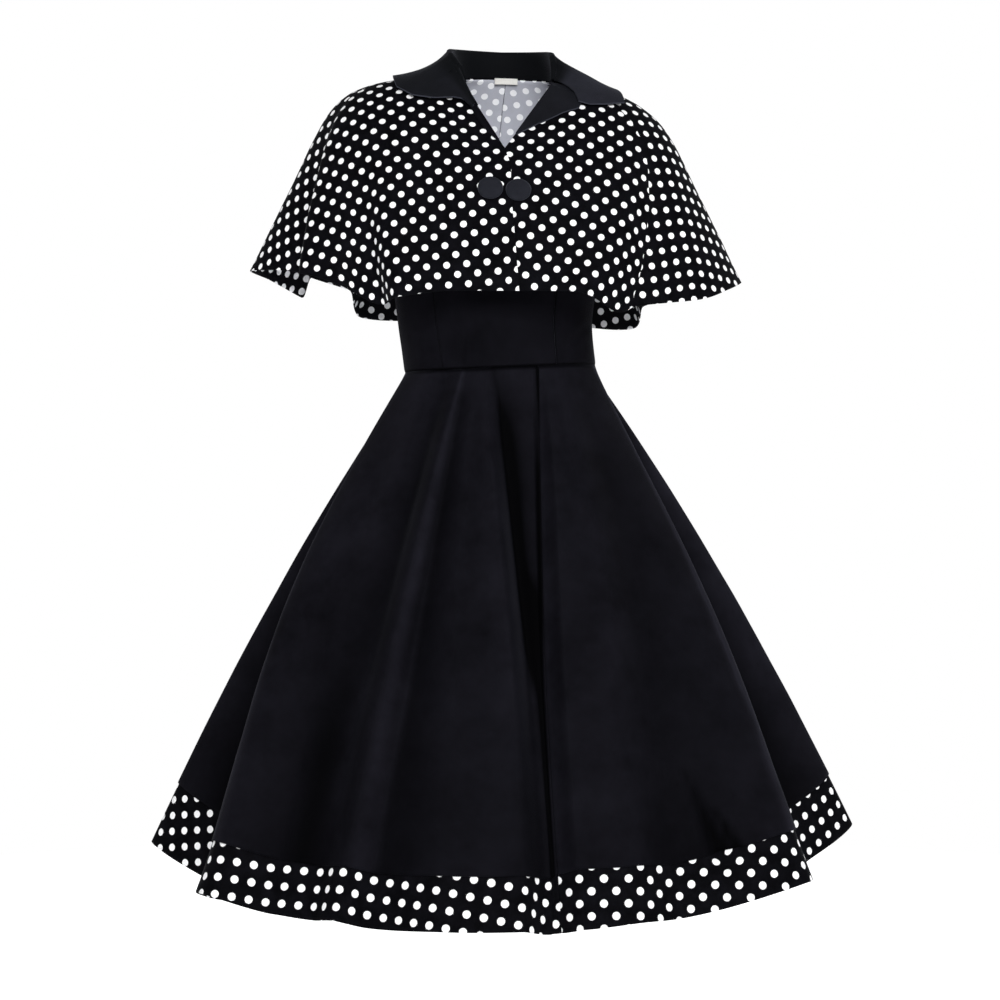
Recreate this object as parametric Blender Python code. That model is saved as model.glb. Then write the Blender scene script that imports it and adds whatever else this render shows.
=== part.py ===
"""A-line day dress with a spotted capelet, as it is worn: hollow cloth with folds, held by nobody.

Metres, +Z up. The front faces -Y, and left and right are the wearer's, so +X is the left side.
The origin lies between the shoulders, level with the sides of the neck, where the dress is carried.
Angles round the body are degrees from the centre front, positive towards the wearer's left.
"""

import math
from collections import namedtuple

import bmesh
import bpy
from mathutils import Vector

# Cloth and seams
WALL = 0.0013
SEAM_GAP = 0.0003
LAYER = WALL + SEAM_GAP
FACING_LIFT = 0.0008

# Waist seam
WAIST_ACROSS = 0.1235
WAIST_DEEP = 0.095
WAIST_HEIGHT = -0.3678
WAIST_FRONT_DIP = 0.0034
WAIST_TILT = 0.042

# Skirt, cut as sectors of a ring and hung from the waist seam
SKIRT_LENGTH = 0.70
HEM_ACROSS = 0.452
HEM_FRONT = 0.338
HEM_BACK = 0.370
FLARE_BULGE = 0.012
FOLD_GROWTH = 0.85
SKIRT_LEVELS = (0.0, 0.07, 0.16, 0.28, 0.41, 0.54, 0.67, 0.79, 0.86, 0.885, 0.908)
BAND_LEVELS = (0.860, 0.900, 0.950, 1.0)
SIDE_SEAM_RIGHT = -95
SIDE_SEAM_LEFT = 99
PLEAT_SEAM = 13

# A row for each crest and trough of the skirt: its angle at the waist and at the hem, how far it
# stands out at the hem and halfway down, how early it turns from one angle to the other (0 to 1),
# how much shorter the black cloth is there, and the mesh columns from it to the next row.
SkirtFold = namedtuple("SkirtFold", "waist hem relief crease early short columns")
SKIRT_FOLDS = (
    SkirtFold(-180, -180, -0.024, 0.000, 0, 0.000, 4),
    SkirtFold(-163, -164, 0.024, 0.000, 0, 0.000, 4),
    SkirtFold(-147, -147, -0.034, 0.000, 0, 0.000, 4),
    SkirtFold(-133, -131, 0.030, 0.000, 0, 0.000, 4),
    SkirtFold(-119, -113, -0.036, 0.000, 0, 0.008, 4),
    SkirtFold(-105, -95, 0.010, 0.010, 0, 0.026, 4),
    SkirtFold(-98, -86, -0.074, -0.012, 0, 0.020, 3),
    SkirtFold(-91, -72, -0.070, -0.028, 0, 0.004, 4),
    SkirtFold(-76, -52, 0.042, -0.006, 0, 0.000, 4),
    SkirtFold(-58, -44, 0.004, -0.008, 0, 0.000, 3),
    SkirtFold(-40, -38, -0.006, -0.006, 0, 0.000, 3),
    SkirtFold(-29, -31, 0.012, 0.006, 0, 0.000, 3),
    SkirtFold(-25, -26.5, -0.014, -0.002, 0, 0.000, 3),
    SkirtFold(-17, -10, 0.004, 0.002, 0.5, 0.000, 4),
    SkirtFold(-11, 4, 0.008, 0.006, 1, 0.000, 4),
    SkirtFold(-2, 11, -0.026, -0.026, 1, 0.000, 2),
    SkirtFold(24, 12, -0.030, -0.018, 1, 0.000, 2),
    SkirtFold(29, 13, -0.028, -0.012, 1, 0.000, 3),
    SkirtFold(33, 17, -0.010, 0.004, 1, 0.000, 3),
    SkirtFold(41, 27, 0.000, 0.002, 0.5, 0.000, 3),
    SkirtFold(54, 37, -0.016, -0.004, 0, 0.000, 4),
    SkirtFold(76, 56, 0.032, -0.016, 0, 0.000, 4),
    SkirtFold(92, 76, -0.080, -0.030, 0, 0.000, 3),
    SkirtFold(99, 89, -0.056, -0.010, 0, 0.008, 3),
    SkirtFold(107, 99, 0.026, 0.010, 0, 0.014, 4),
    SkirtFold(120, 115, -0.030, 0.000, 0, 0.004, 4),
    SkirtFold(132, 131, 0.026, 0.000, 0, 0.000, 4),
    SkirtFold(147, 147, -0.032, 0.000, 0, 0.000, 4),
    SkirtFold(163, 163, 0.022, 0.000, 0, 0.000, 4),
    SkirtFold(180, 180, -0.024, 0.000, 0, 0.000, 0),
)

# Capelet. A row for each ring from the neck seam to the hem: the fraction of the way down, then
# the distance from the axis and the height at the side, the front and the back, and the lean.
CapeRing = namedtuple("CapeRing", "at side side_z front front_z back back_z lean")
CAPE_RINGS = (
    CapeRing(0.00, 0.063, 0.006, 0.110, -0.100, 0.066, 0.020, 0.030),
    CapeRing(0.15, 0.122, 0.001, 0.124, -0.126, 0.094, -0.021, 0.050),
    CapeRing(0.32, 0.184, -0.019, 0.137, -0.156, 0.121, -0.071, 0.054),
    CapeRing(0.45, 0.2206, -0.054, 0.147, -0.179, 0.133, -0.113, 0.050),
    CapeRing(0.70, 0.2646, -0.142, 0.158, -0.226, 0.149, -0.196, 0.035),
    CapeRing(1.00, 0.3155, -0.248, 0.165, -0.282, 0.165, -0.303, 0.027),
)
CAPE_SHIFT = -0.004
NECK_SHIFT = 0.008
CAPE_LEVELS = (0.0, 0.04, 0.09, 0.15, 0.23, 0.32, 0.40, 0.50, 0.61, 0.74, 0.87, 1.0)
NECK_FRONT = 0.050
NECK_BREAK = 63
NECK_BREAK_AT = Vector((0.058, -0.028, -0.004))
NECK_POINT_AT = Vector((-0.002, -0.110, -0.100))

# A row for each crest and trough of the capelet: its angle at the neck and at the hem, how far it
# stands out and how far it drops at the hem, the fraction of the way down where it starts, and the
# mesh columns from it to the next row. The front edges and the shoulder seams are rows too.
CapeFold = namedtuple("CapeFold", "neck hem relief drop start columns")
CAPE_FOLDS = (
    CapeFold(-180, -180, 0.000, 0.000, 0.20, 3),
    CapeFold(-166, -162, -0.006, 0.000, 0.20, 2),
    CapeFold(-152, -145, 0.008, 0.009, 0.40, 2),
    CapeFold(-143, -136, -0.028, -0.016, 0.40, 3),
    CapeFold(-128, -122, -0.024, -0.015, 0.50, 2),
    CapeFold(-118, -116, -0.028, 0.018, 0.50, 3),
    CapeFold(-107, -105, 0.000, 0.002, 0.40, 3),
    CapeFold(-89, -89, 0.004, 0.002, 0.40, 4),
    CapeFold(-86, -61, -0.040, 0.000, 0.30, 3),
    CapeFold(-83, -48, 0.008, 0.000, 0.30, 3),
    CapeFold(-70, -38, 0.004, 0.007, 0.30, 3),
    CapeFold(-63, -30, -0.026, 0.026, 0.35, 3),
    CapeFold(-50, -21, 0.012, 0.015, 0.35, 4),
    CapeFold(-24, -10, 0.002, 0.003, 0.40, 4),
    CapeFold(-1, 1, -0.006, 0.000, 0.50, 2),
    CapeFold(5, 5, 0.000, 0.000, 0.50, 2),
    CapeFold(16, 10, -0.002, 0.000, 0.50, 9),
    CapeFold(72, 17, 0.012, 0.002, 0.35, 4),
    CapeFold(77, 31, -0.016, 0.029, 0.35, 2),
    CapeFold(80, 37, -0.026, 0.022, 0.35, 4),
    CapeFold(85, 51, 0.008, 0.020, 0.35, 3),
    CapeFold(87, 68, 0.002, 0.010, 0.40, 3),
    CapeFold(89, 89, 0.000, 0.000, 0.40, 3),
    CapeFold(112, 112, -0.016, 0.002, 0.40, 2),
    CapeFold(126, 124, -0.042, 0.000, 0.40, 3),
    CapeFold(138, 136, -0.032, -0.004, 0.40, 2),
    CapeFold(149, 145, 0.008, 0.014, 0.40, 2),
    CapeFold(165, 163, -0.004, 0.000, 0.20, 3),
    CapeFold(180, 180, 0.000, 0.000, 0.20, 0),
)
CAPE_OPENING = 5
SHOULDER_SEAM = 89

# Collar. A row for each section from the right front round the back to the left front: the angle
# on the neck seam, the height of the stand, and the angle and fraction on the capelet where the
# turned-down edge lies.
CollarSection = namedtuple("CollarSection", "neck stand edge_angle edge_at")
COLLAR_SECTIONS = (
    CollarSection(-38, 0.001, -38, 0.014),
    CollarSection(-46, 0.003, -45, 0.026),
    CollarSection(-54, 0.008, -50.5, 0.062),
    CollarSection(-63, 0.018, -54, 0.122),
    CollarSection(-71, 0.026, -59, 0.176),
    CollarSection(-79, 0.031, -67, 0.205),
    CollarSection(-96, 0.035, -93, 0.190),
    CollarSection(-118, 0.034, -119, 0.145),
    CollarSection(-146, 0.033, -147, 0.120),
    CollarSection(-180, 0.032, -180, 0.110),
    CollarSection(-214, 0.033, -213, 0.120),
    CollarSection(-242, 0.034, -242, 0.135),
    CollarSection(-260, 0.034, -266, 0.190),
    CollarSection(-268, 0.031, -290.5, 0.276),
    CollarSection(-275, 0.024, -297, 0.225),
    CollarSection(-282, 0.013, -301.5, 0.173),
    CollarSection(-289, 0.003, -303, 0.130),
)
COLLAR_WALL = 0.0015
COLLAR_ROLL = 0.0024
COLLAR_END_ROLL = 0.0012
COLLAR_LIFT = 0.0034
COLLAR_LEAN = 0.002
COLLAR_SWAY = -0.007
COLLAR_FULL_STAND = 0.035
COLLAR_DROOP = 2.8
COLLAR_UNDER_ROLL = 0.045
COLLAR_COLUMNS = 2
STAND_SHARE = 0.35
ROLL_SHARE = 0.60
COLLAR_ROWS = (0.0, 0.18, 0.35, 0.43, 0.52, 0.6, 0.7, 0.85, 1.0)

# Lapel facings turned out along the neck edge: a row for each section, with the angle on the neck
# edge, then the angle and the fraction of the capelet where the facing ends.
LapelSection = namedtuple("LapelSection", "angle edge_angle edge_at")
LAPELS = {
    "right": (
        LapelSection(-3, -3, 0.016),
        LapelSection(-14, -14, 0.026),
        LapelSection(-25, -25, 0.028),
        LapelSection(-36, -35, 0.024),
    ),
    "left": (
        LapelSection(18, 18, 0.012),
        LapelSection(36, 34, 0.052),
        LapelSection(54, 48, 0.100),
        LapelSection(70, 55, 0.140),
    ),
}
LAPEL_COLUMNS = 3
LAPEL_ROWS = (0.0, 0.33, 0.67, 1.0)

# Bodice. A row for each ring from the waist seam up: half width, depth in front and behind, the
# rise above the waist, the shift sideways, the tilt, and how far the cups stand out.
BodiceRing = namedtuple("BodiceRing", "at across front back rise shift tilt cup")
BODICE_RINGS = (
    BodiceRing(0.00, WAIST_ACROSS, WAIST_DEEP, WAIST_DEEP, 0.000, 0.000, WAIST_TILT, 0.000),
    BodiceRing(0.25, 0.1255, 0.0985, 0.0970, 0.058, -0.006, 0.020, 0.000),
    BodiceRing(0.50, 0.1330, 0.1030, 0.1010, 0.116, -0.006, 0.000, 0.003),
    BodiceRing(0.75, 0.1400, 0.1080, 0.1050, 0.175, -0.005, -0.020, 0.014),
    BodiceRing(1.00, 0.1360, 0.1020, 0.1040, 0.232, -0.003, -0.035, 0.006),
)
BODICE_LEVELS = (0.0, 0.17, 0.35, 0.52, 0.68, 0.84, 1.0)
PRINCESS_SEAM = 43
BODICE_SIDE_SEAM = 90
CUP_ANGLE = 38
CUP_SPREAD = 30

# Shoulder straps, hidden under the capelet, which rests on them
STRAP_INSIDE = 0.086
STRAP_OUTSIDE = 0.111
STRAP_FRONT = 34
STRAP_BACK = 146
STRAP_COLUMNS = 14
STRAP_CLEAR = 0.0014

# Covered buttons, one on each front
BUTTON_RADIUS = 0.0157
BUTTON_THICK = 0.0062
BUTTON_SIDES = 32
BUTTONS = {"right": (-0.0118, -0.1551), "left": (0.0226, -0.1577)}

# Blank label folded into the neck seam
LABEL_ANGLES = (168, 192)
LABEL_DEEP = 0.008
LABEL_RISE = 0.0025
LABEL_THICK = 0.0010
LABEL_CLEAR = 0.0026

SPOTTED = (0.012, 0.012, 0.018)
BLACK = (0.010, 0.010, 0.014)
NAVY_BLACK = (0.016, 0.018, 0.026)
WHITE = (0.78, 0.77, 0.74)


def smooth(share):
    """0 to 1 with level ends."""
    share = min(max(share, 0.0), 1.0)
    return share * share * (3 - 2 * share)


def mix(low, high, share):
    return low + (high - low) * share


def neighbours(rows, key, at):
    """The two rows round `at`, and how far it lies from the first to the second."""
    for before, after in zip(rows, rows[1:]):
        low, high = getattr(before, key), getattr(after, key)
        if min(low, high) <= at <= max(low, high):
            return before, after, (at - low) / (high - low)
    end = rows[0] if abs(at - getattr(rows[0], key)) < abs(at - getattr(rows[-1], key)) else rows[-1]
    return end, end, 0.0


def curve_through(stops, values, at):
    """A smooth curve through values at rising stops, without overshoot at the two ends."""
    last = len(stops) - 1
    k = next((i for i in range(last) if at <= stops[i + 1]), last - 1)
    span = stops[k + 1] - stops[k]

    def slope(i):
        low, high = max(i - 1, 0), min(i + 1, last)
        return (values[high] - values[low]) / (stops[high] - stops[low])

    t = (at - stops[k]) / span
    start, end = slope(k) * span, slope(k + 1) * span
    return (
        values[k] * (2 * t**3 - 3 * t**2 + 1)
        + start * (t**3 - 2 * t**2 + t)
        + values[k + 1] * (3 * t**2 - 2 * t**3)
        + end * (t**3 - t**2)
    )


def through_crests(stops, values, at):
    """A smooth curve through values at rising stops that turns level at each crest and trough."""
    last = len(stops) - 1
    k = next((i for i in range(last) if at <= stops[i + 1]), last - 1)
    rises = [(values[i + 1] - values[i]) / (stops[i + 1] - stops[i]) for i in range(last)]

    def slope(i):
        if i in (0, last) or rises[i - 1] * rises[i] <= 0:
            return 0.0
        return 2 * rises[i - 1] * rises[i] / (rises[i - 1] + rises[i])

    span = stops[k + 1] - stops[k]
    t = min(max((at - stops[k]) / span, 0), 1)
    return (
        values[k] * (2 * t**3 - 3 * t**2 + 1)
        + slope(k) * span * (t**3 - 2 * t**2 + t)
        + values[k + 1] * (3 * t**2 - 2 * t**3)
        + slope(k + 1) * span * (t**3 - t**2)
    )


def column_of(rows, name):
    return [getattr(row, name) for row in rows]


def oval(angle, across, front, back):
    """Distance from the axis to an oval at a true angle in degrees."""
    sine, cosine = math.sin(math.radians(angle)), math.cos(math.radians(angle))
    deep = front if cosine > 0 else back
    return 1 / math.hypot(sine / across, cosine / deep)


def outward(angle, distance, height=0.0):
    turn = math.radians(angle)
    return Vector((distance * math.sin(turn), -distance * math.cos(turn), height))


def waist_height(point):
    dip = WAIST_FRONT_DIP * max(-point.y / WAIST_DEEP, 0) ** 2
    return WAIST_HEIGHT - dip + WAIST_TILT * point.x


def skirt_point(angle, level):
    """Outside of the skirt. The angle is the one at the hem, and level runs from waist to hem."""
    before, after, share = neighbours(SKIRT_FOLDS, "hem", angle)
    waist_angle = mix(before.waist, after.waist, share)
    early = mix(before.early, after.early, share)
    share = smooth(share)
    relief = mix(before.relief, after.relief, share)
    crease = mix(before.crease, after.crease, share)
    turn = mix(smooth(level), 1 - (1 - level) ** 3, early)
    here = mix(waist_angle, angle, turn)
    top = outward(waist_angle, oval(waist_angle, WAIST_ACROSS, WAIST_DEEP, WAIST_DEEP))
    hem = oval(angle, HEM_ACROSS, HEM_FRONT, HEM_BACK) + relief
    distance = mix(
        oval(here, WAIST_ACROSS, WAIST_DEEP, WAIST_DEEP),
        oval(here, HEM_ACROSS, HEM_FRONT, HEM_BACK),
        level,
    )
    distance += relief * max(level, 0) ** FOLD_GROWTH + FLARE_BULGE * 4 * level * (1 - level)
    distance += crease * 6.75 * level * (1 - level) ** 2
    fall = math.sqrt(SKIRT_LENGTH**2 - (hem - top.length) ** 2)
    return outward(here, distance, waist_height(top) - level * fall)


def black_skirt_point(angle, level):
    """The skirt's surface down to the black hem, which is shorter on the side folds."""
    before, after, share = neighbours(SKIRT_FOLDS, "hem", angle)
    short = mix(before.short, after.short, smooth(share))
    return skirt_point(angle, level * (1 - short / SKIRT_LENGTH))


def neck_point(angle):
    """The capelet's neck seam: an oval behind, and a straight V in front."""
    turn = abs(angle)
    if turn <= NECK_BREAK:
        side = math.copysign(1, angle - CAPE_OPENING)
        edge = Vector((side * NECK_BREAK_AT.x, NECK_BREAK_AT.y, NECK_BREAK_AT.z))
        along = (angle - CAPE_OPENING) / (side * NECK_BREAK - CAPE_OPENING)
        return NECK_POINT_AT.lerp(edge, along)
    ring = CAPE_RINGS[0]
    beyond = (turn - NECK_BREAK) / (180 - NECK_BREAK)
    point = outward(angle, oval(angle, ring.side, NECK_FRONT, ring.back))
    point.z = mix(NECK_BREAK_AT.z, ring.back_z, math.sin(beyond * math.pi / 2))
    return point


def cape_point(angle, level):
    """Outside of the capelet at a true angle. Level runs from the neck seam to the hem."""
    turn = math.radians(angle)
    sine, cosine = math.sin(turn), math.cos(turn)
    points = [neck_point(angle)]
    for ring in CAPE_RINGS[1:]:
        deep, end_z = (ring.front, ring.front_z) if cosine > 0 else (ring.back, ring.back_z)
        height = mix(ring.side_z, end_z, cosine**2)
        points.append(Vector((ring.side * sine, -deep * cosine, height)))
    stops = column_of(CAPE_RINGS, "at")
    point = curve_through(stops, points, level)
    turned = [mix(fold.neck, fold.hem, level) for fold in CAPE_FOLDS]
    start = through_crests(turned, column_of(CAPE_FOLDS, "start"), angle)
    grown = max((level - start) / (1 - start), 0) ** 1.4
    point += outward(angle, through_crests(turned, column_of(CAPE_FOLDS, "relief"), angle) * grown)
    point.z -= through_crests(turned, column_of(CAPE_FOLDS, "drop"), angle) * grown
    point.z -= curve_through(stops, column_of(CAPE_RINGS, "lean"), level) * point.x
    point.x += mix(NECK_SHIFT, CAPE_SHIFT, min(max(level, 0) * 3, 1))
    return point


def cape_cloth(angle, level):
    """The capelet along its folds, where the angle is the one at the hem."""
    before, after, share = neighbours(CAPE_FOLDS, "hem", angle)
    return cape_point(mix(mix(before.neck, after.neck, share), angle, level), level)


def bodice_point(angle, level):
    """Outside of the bodice. Level runs from the waist seam up to the top edge."""
    stops = column_of(BODICE_RINGS, "at")

    def at(name):
        return curve_through(stops, column_of(BODICE_RINGS, name), level)

    distance = oval(angle, at("across"), at("front"), at("back"))
    distance += at("cup") * math.exp(-(((abs(angle) - CUP_ANGLE) / CUP_SPREAD) ** 2))
    point = outward(angle, distance)
    height = waist_height(point) - WAIST_TILT * point.x + at("tilt") * point.x + at("rise")
    return Vector((point.x + at("shift"), point.y, height))


def outward_normal(surface, across, down, step=0.002):
    """Unit normal of a surface of (angle, level), pointing away from the body."""
    along = surface(across + 1, down) - surface(across - 1, down)
    up = surface(across, down - step) - surface(across, down + step)
    return along.cross(up).normalized()


def lifted(surface, lift, sign=1):
    """The same surface moved out along its normal. A sign of -1 is for one whose level runs up."""

    def moved(across, down):
        return surface(across, down) + outward_normal(surface, across, down) * (lift * sign)

    return moved


def principled(name, colour, roughness):
    material = bpy.data.materials.new(name)
    material.use_nodes = True
    shader = material.node_tree.nodes["Principled BSDF"]
    shader.inputs["Base Color"].default_value = (*colour, 1)
    shader.inputs["Roughness"].default_value = roughness
    shader.inputs["Metallic"].default_value = 0
    return material


def add_object(name, shape, colour, roughness=0.85):
    bmesh.ops.recalc_face_normals(shape, faces=shape.faces)
    if shape.calc_volume(signed=True) < 0:
        bmesh.ops.reverse_faces(shape, faces=shape.faces)
    mesh = bpy.data.meshes.new(name)
    shape.to_mesh(mesh)
    shape.free()
    mesh.shade_smooth()
    mesh.materials.append(principled(name, colour, roughness))
    piece = bpy.data.objects.new(name, mesh)
    bpy.context.scene.collection.objects.link(piece)
    return piece


def cloth_panel(name, outside, inside, columns, rows, colour, trim=SEAM_GAP / 2):
    """A wall between two surfaces, over a grid of columns and rows, trimmed for its seams."""
    shape = bmesh.new()
    bmesh.ops.create_grid(
        shape, x_segments=len(columns) - 1, y_segments=len(rows) - 1, size=1.0
    )
    back = bmesh.ops.extrude_face_region(shape, geom=shape.faces[:])["geom"]
    inner = {vert for vert in back if isinstance(vert, bmesh.types.BMVert)}
    last_column, last_row = len(columns) - 1, len(rows) - 1
    for vert in shape.verts:
        i = round((vert.co.x + 1) / 2 * last_column)
        j = round((vert.co.y + 1) / 2 * last_row)
        surface = inside if vert in inner else outside
        point = surface(columns[i], rows[j])
        sideways = 1 if i == 0 else -1 if i == last_column else 0
        endways = 1 if j == 0 else -1 if j == last_row else 0
        for step_i, step_j in ((sideways, 0), (0, endways)):
            if step_i or step_j:
                towards = surface(columns[i + step_i], rows[j + step_j]) - point
                vert.co = point = point + towards.normalized() * trim
        vert.co = point
    return add_object(name, shape, colour)


def fold_columns(folds, key, start, end):
    """Mesh columns from start to end, with one on each crest and trough between."""
    columns = []
    for before, after in zip(folds, folds[1:]):
        low, high = getattr(before, key), getattr(after, key)
        for k in range(before.columns):
            columns.append(mix(low, high, k / before.columns))
    inside = [angle for angle in columns if start + 0.5 < angle < end - 0.5]
    return [start, *inside, end]


def add_skirt():
    panels = {
        "front_right": (SIDE_SEAM_RIGHT, PLEAT_SEAM),
        "front_left": (PLEAT_SEAM, SIDE_SEAM_LEFT),
        "back_right": (-180, SIDE_SEAM_RIGHT),
        "back_left": (SIDE_SEAM_LEFT, 180),
    }
    band_outside = lifted(skirt_point, -LAYER - SEAM_GAP)
    band_inside = lifted(skirt_point, -LAYER - SEAM_GAP - WALL)
    for side, (start, end) in panels.items():
        columns = fold_columns(SKIRT_FOLDS, "hem", start, end)
        inside = lifted(black_skirt_point, -WALL)
        cloth_panel(f"skirt_{side}", black_skirt_point, inside, columns, SKIRT_LEVELS, BLACK)
        cloth_panel(f"hem_band_{side}", band_outside, band_inside, columns, BAND_LEVELS, SPOTTED)


def add_cape():
    panels = {
        "front_right": (-SHOULDER_SEAM, CAPE_OPENING),
        "front_left": (CAPE_OPENING, SHOULDER_SEAM),
        "back_right": (-180, -SHOULDER_SEAM),
        "back_left": (SHOULDER_SEAM, 180),
    }
    inside = lifted(cape_cloth, -WALL)
    for side, (start, end) in panels.items():
        columns = fold_columns(CAPE_FOLDS, "hem", start, end)
        cloth_panel(f"cape_{side}", cape_cloth, inside, columns, CAPE_LEVELS, SPOTTED)


def section_at(sections, position):
    """Values between two sections, where position counts sections from 0."""
    k = min(int(position), len(sections) - 2)
    share = position - k
    pairs = zip(sections[k], sections[k + 1])
    return type(sections[0])(*(mix(a, b, share) for a, b in pairs))


def wrapped(angle):
    return (angle + 180) % 360 - 180


def collar_surface(inset):
    """The collar's path from the seam up the stand, over the roll and down to its edge."""
    over_cape = lifted(cape_point, COLLAR_LIFT)

    def surface(position, share):
        section = section_at(COLLAR_SECTIONS, position)
        neck_angle = wrapped(section.neck)
        seam = cape_point(neck_angle, 0.0) + Vector((0, 0, SEAM_GAP * 2))
        out = outward(neck_angle, 1)
        sway = COLLAR_SWAY * min(section.stand / COLLAR_FULL_STAND, 1)
        top = seam + out * COLLAR_LEAN + Vector((sway, 0, section.stand))
        roll = mix(COLLAR_END_ROLL, COLLAR_ROLL, smooth(section.stand / COLLAR_FULL_STAND))
        centre = top + out * roll
        radius = roll + inset
        if share <= STAND_SHARE:
            return seam.lerp(top, share / STAND_SHARE) - out * inset
        if share <= ROLL_SHARE:
            turn = math.pi * (share - STAND_SHARE) / (ROLL_SHARE - STAND_SHARE)
            return centre - out * radius * math.cos(turn) + Vector((0, 0, radius * math.sin(turn)))
        down = (share - ROLL_SHARE) / (1 - ROLL_SHARE)
        angle = mix(section.neck, section.edge_angle, down)
        under = over_cape(wrapped(angle), mix(COLLAR_UNDER_ROLL, section.edge_at, down))
        stand_off = centre + out * roll - over_cape(neck_angle, COLLAR_UNDER_ROLL)
        slope = outward_normal(cape_point, neck_angle, COLLAR_UNDER_ROLL)
        return under + stand_off * (1 - down) ** COLLAR_DROOP + slope * inset

    return surface


def add_collar():
    steps = (len(COLLAR_SECTIONS) - 1) * COLLAR_COLUMNS
    columns = [k / COLLAR_COLUMNS for k in range(steps + 1)]
    cloth_panel(
        "collar", collar_surface(COLLAR_WALL), collar_surface(0), columns, COLLAR_ROWS, NAVY_BLACK
    )


def lapel_surface(sections, lift):
    above = lifted(cape_point, lift)

    def surface(position, share):
        section = section_at(sections, position)
        angle = mix(section.angle, section.edge_angle, share)
        return above(angle, section.edge_at * share)

    return surface


def add_lapels():
    for side, sections in LAPELS.items():
        steps = (len(sections) - 1) * LAPEL_COLUMNS
        columns = [k / LAPEL_COLUMNS for k in range(steps + 1)]
        outside = lapel_surface(sections, FACING_LIFT + WALL)
        inside = lapel_surface(sections, FACING_LIFT)
        cloth_panel(f"lapel_{side}", outside, inside, columns, LAPEL_ROWS, NAVY_BLACK)


def add_bodice():
    panels = {
        "bodice_front": (-PRINCESS_SEAM, PRINCESS_SEAM, 10),
        "bodice_side_left": (PRINCESS_SEAM, BODICE_SIDE_SEAM, 5),
        "bodice_side_right": (-BODICE_SIDE_SEAM, -PRINCESS_SEAM, 5),
        "bodice_back_left": (BODICE_SIDE_SEAM, 180, 8),
        "bodice_back_right": (-180, -BODICE_SIDE_SEAM, 8),
    }
    inside = lifted(bodice_point, -WALL, sign=-1)
    for name, (start, end, steps) in panels.items():
        columns = [mix(start, end, k / steps) for k in range(steps + 1)]
        cloth_panel(name, bodice_point, inside, columns, BODICE_LEVELS, BLACK)


def level_at_width(angle, width):
    """The capelet's level where it lies this far from the middle, found by halving."""
    low, high = 0.0, 1.0
    for _ in range(30):
        middle = (low + high) / 2
        if abs(cape_point(angle, middle).x) < width:
            low = middle
        else:
            high = middle
    return (low + high) / 2


def strap_surface(side, inset):
    """A strap that follows the underside of the capelet over the shoulder, down to the bodice."""

    def surface(along, across):
        angle = side * mix(STRAP_FRONT, STRAP_BACK, along)
        width = mix(STRAP_INSIDE, STRAP_OUTSIDE, across)
        under = lifted(cape_point, -WALL - STRAP_CLEAR - inset)(angle, level_at_width(angle, width))
        end = STRAP_FRONT + 10 if along < 0.5 else STRAP_BACK - 8
        foot_angle = side * (end + (across - 0.5) * (16 if along < 0.5 else -16))
        foot = bodice_point(foot_angle, 1.0) + outward(foot_angle, -inset, SEAM_GAP)
        return under.lerp(foot, smooth(abs(along - 0.5) * 2) ** 2)

    return surface


def add_straps():
    columns = [k / STRAP_COLUMNS for k in range(STRAP_COLUMNS + 1)]
    rows = (0.0, 0.5, 1.0)
    for name, side in (("strap_left", 1), ("strap_right", -1)):
        cloth_panel(name, strap_surface(side, 0), strap_surface(side, WALL), columns, rows, BLACK)


def level_at_height(angle, height):
    low, high = 0.0, 1.0
    for _ in range(30):
        middle = (low + high) / 2
        if cape_point(angle, middle).z > height:
            low = middle
        else:
            high = middle
    return (low + high) / 2


def on_cape_front(across, height):
    """Angle and level of the point of the capelet's front at this place across and this height."""
    angle = 0.0
    for _ in range(40):
        level = level_at_height(angle, height)
        angle += (across - cape_point(angle, level).x) * 200
    return angle, level


def add_buttons():
    for side, (across, height) in BUTTONS.items():
        angle, level = on_cape_front(across, height)
        normal = outward_normal(cape_point, angle, level)
        shape = bmesh.new()
        bmesh.ops.create_cone(
            shape,
            cap_ends=True,
            segments=BUTTON_SIDES,
            radius1=BUTTON_RADIUS,
            radius2=BUTTON_RADIUS,
            depth=BUTTON_THICK,
        )
        rim = [edge for edge in shape.edges if all(vert.co.z > 0 for vert in edge.verts)]
        bmesh.ops.bevel(
            shape,
            geom=rim,
            offset=BUTTON_THICK * 0.75,
            offset_type="OFFSET",
            affect="EDGES",
            segments=3,
            profile=0.5,
            material=-1,
        )
        turn = normal.to_track_quat("Z", "Y").to_matrix().to_4x4()
        bmesh.ops.transform(shape, matrix=turn, verts=shape.verts)
        seat = cape_point(angle, level) + normal * (BUTTON_THICK / 2 + SEAM_GAP * 4)
        bmesh.ops.translate(shape, vec=seat, verts=shape.verts)
        add_object(f"button_{side}", shape, NAVY_BLACK, roughness=0.75)


def add_label():
    def label(inset):
        def surface(angle, down):
            seam = cape_point(wrapped(angle), 0.0)
            return seam - outward(angle, LABEL_CLEAR + inset, LABEL_DEEP * down - LABEL_RISE)

        return surface

    columns = [mix(*LABEL_ANGLES, k / 6) for k in range(7)]
    cloth_panel("neck_label", label(LABEL_THICK), label(0), columns, (0.0, 0.5, 1.0), WHITE)


for leftover in list(bpy.data.objects):
    bpy.data.objects.remove(leftover, do_unlink=True)
add_cape()
add_collar()
add_lapels()
add_buttons()
add_label()
add_bodice()
add_straps()
add_skirt()
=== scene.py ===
"""A-line day dress with a spotted capelet, filled out as it is worn, with nobody in it.

Metres, +Z up. The front faces -Y, and left and right are the wearer's, so +X is the left side.
Angles round the body are degrees from the centre front, positive towards the wearer's left.
"""

import math
from collections import namedtuple

import bmesh
import bpy
from mathutils import Matrix, Vector, noise


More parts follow.
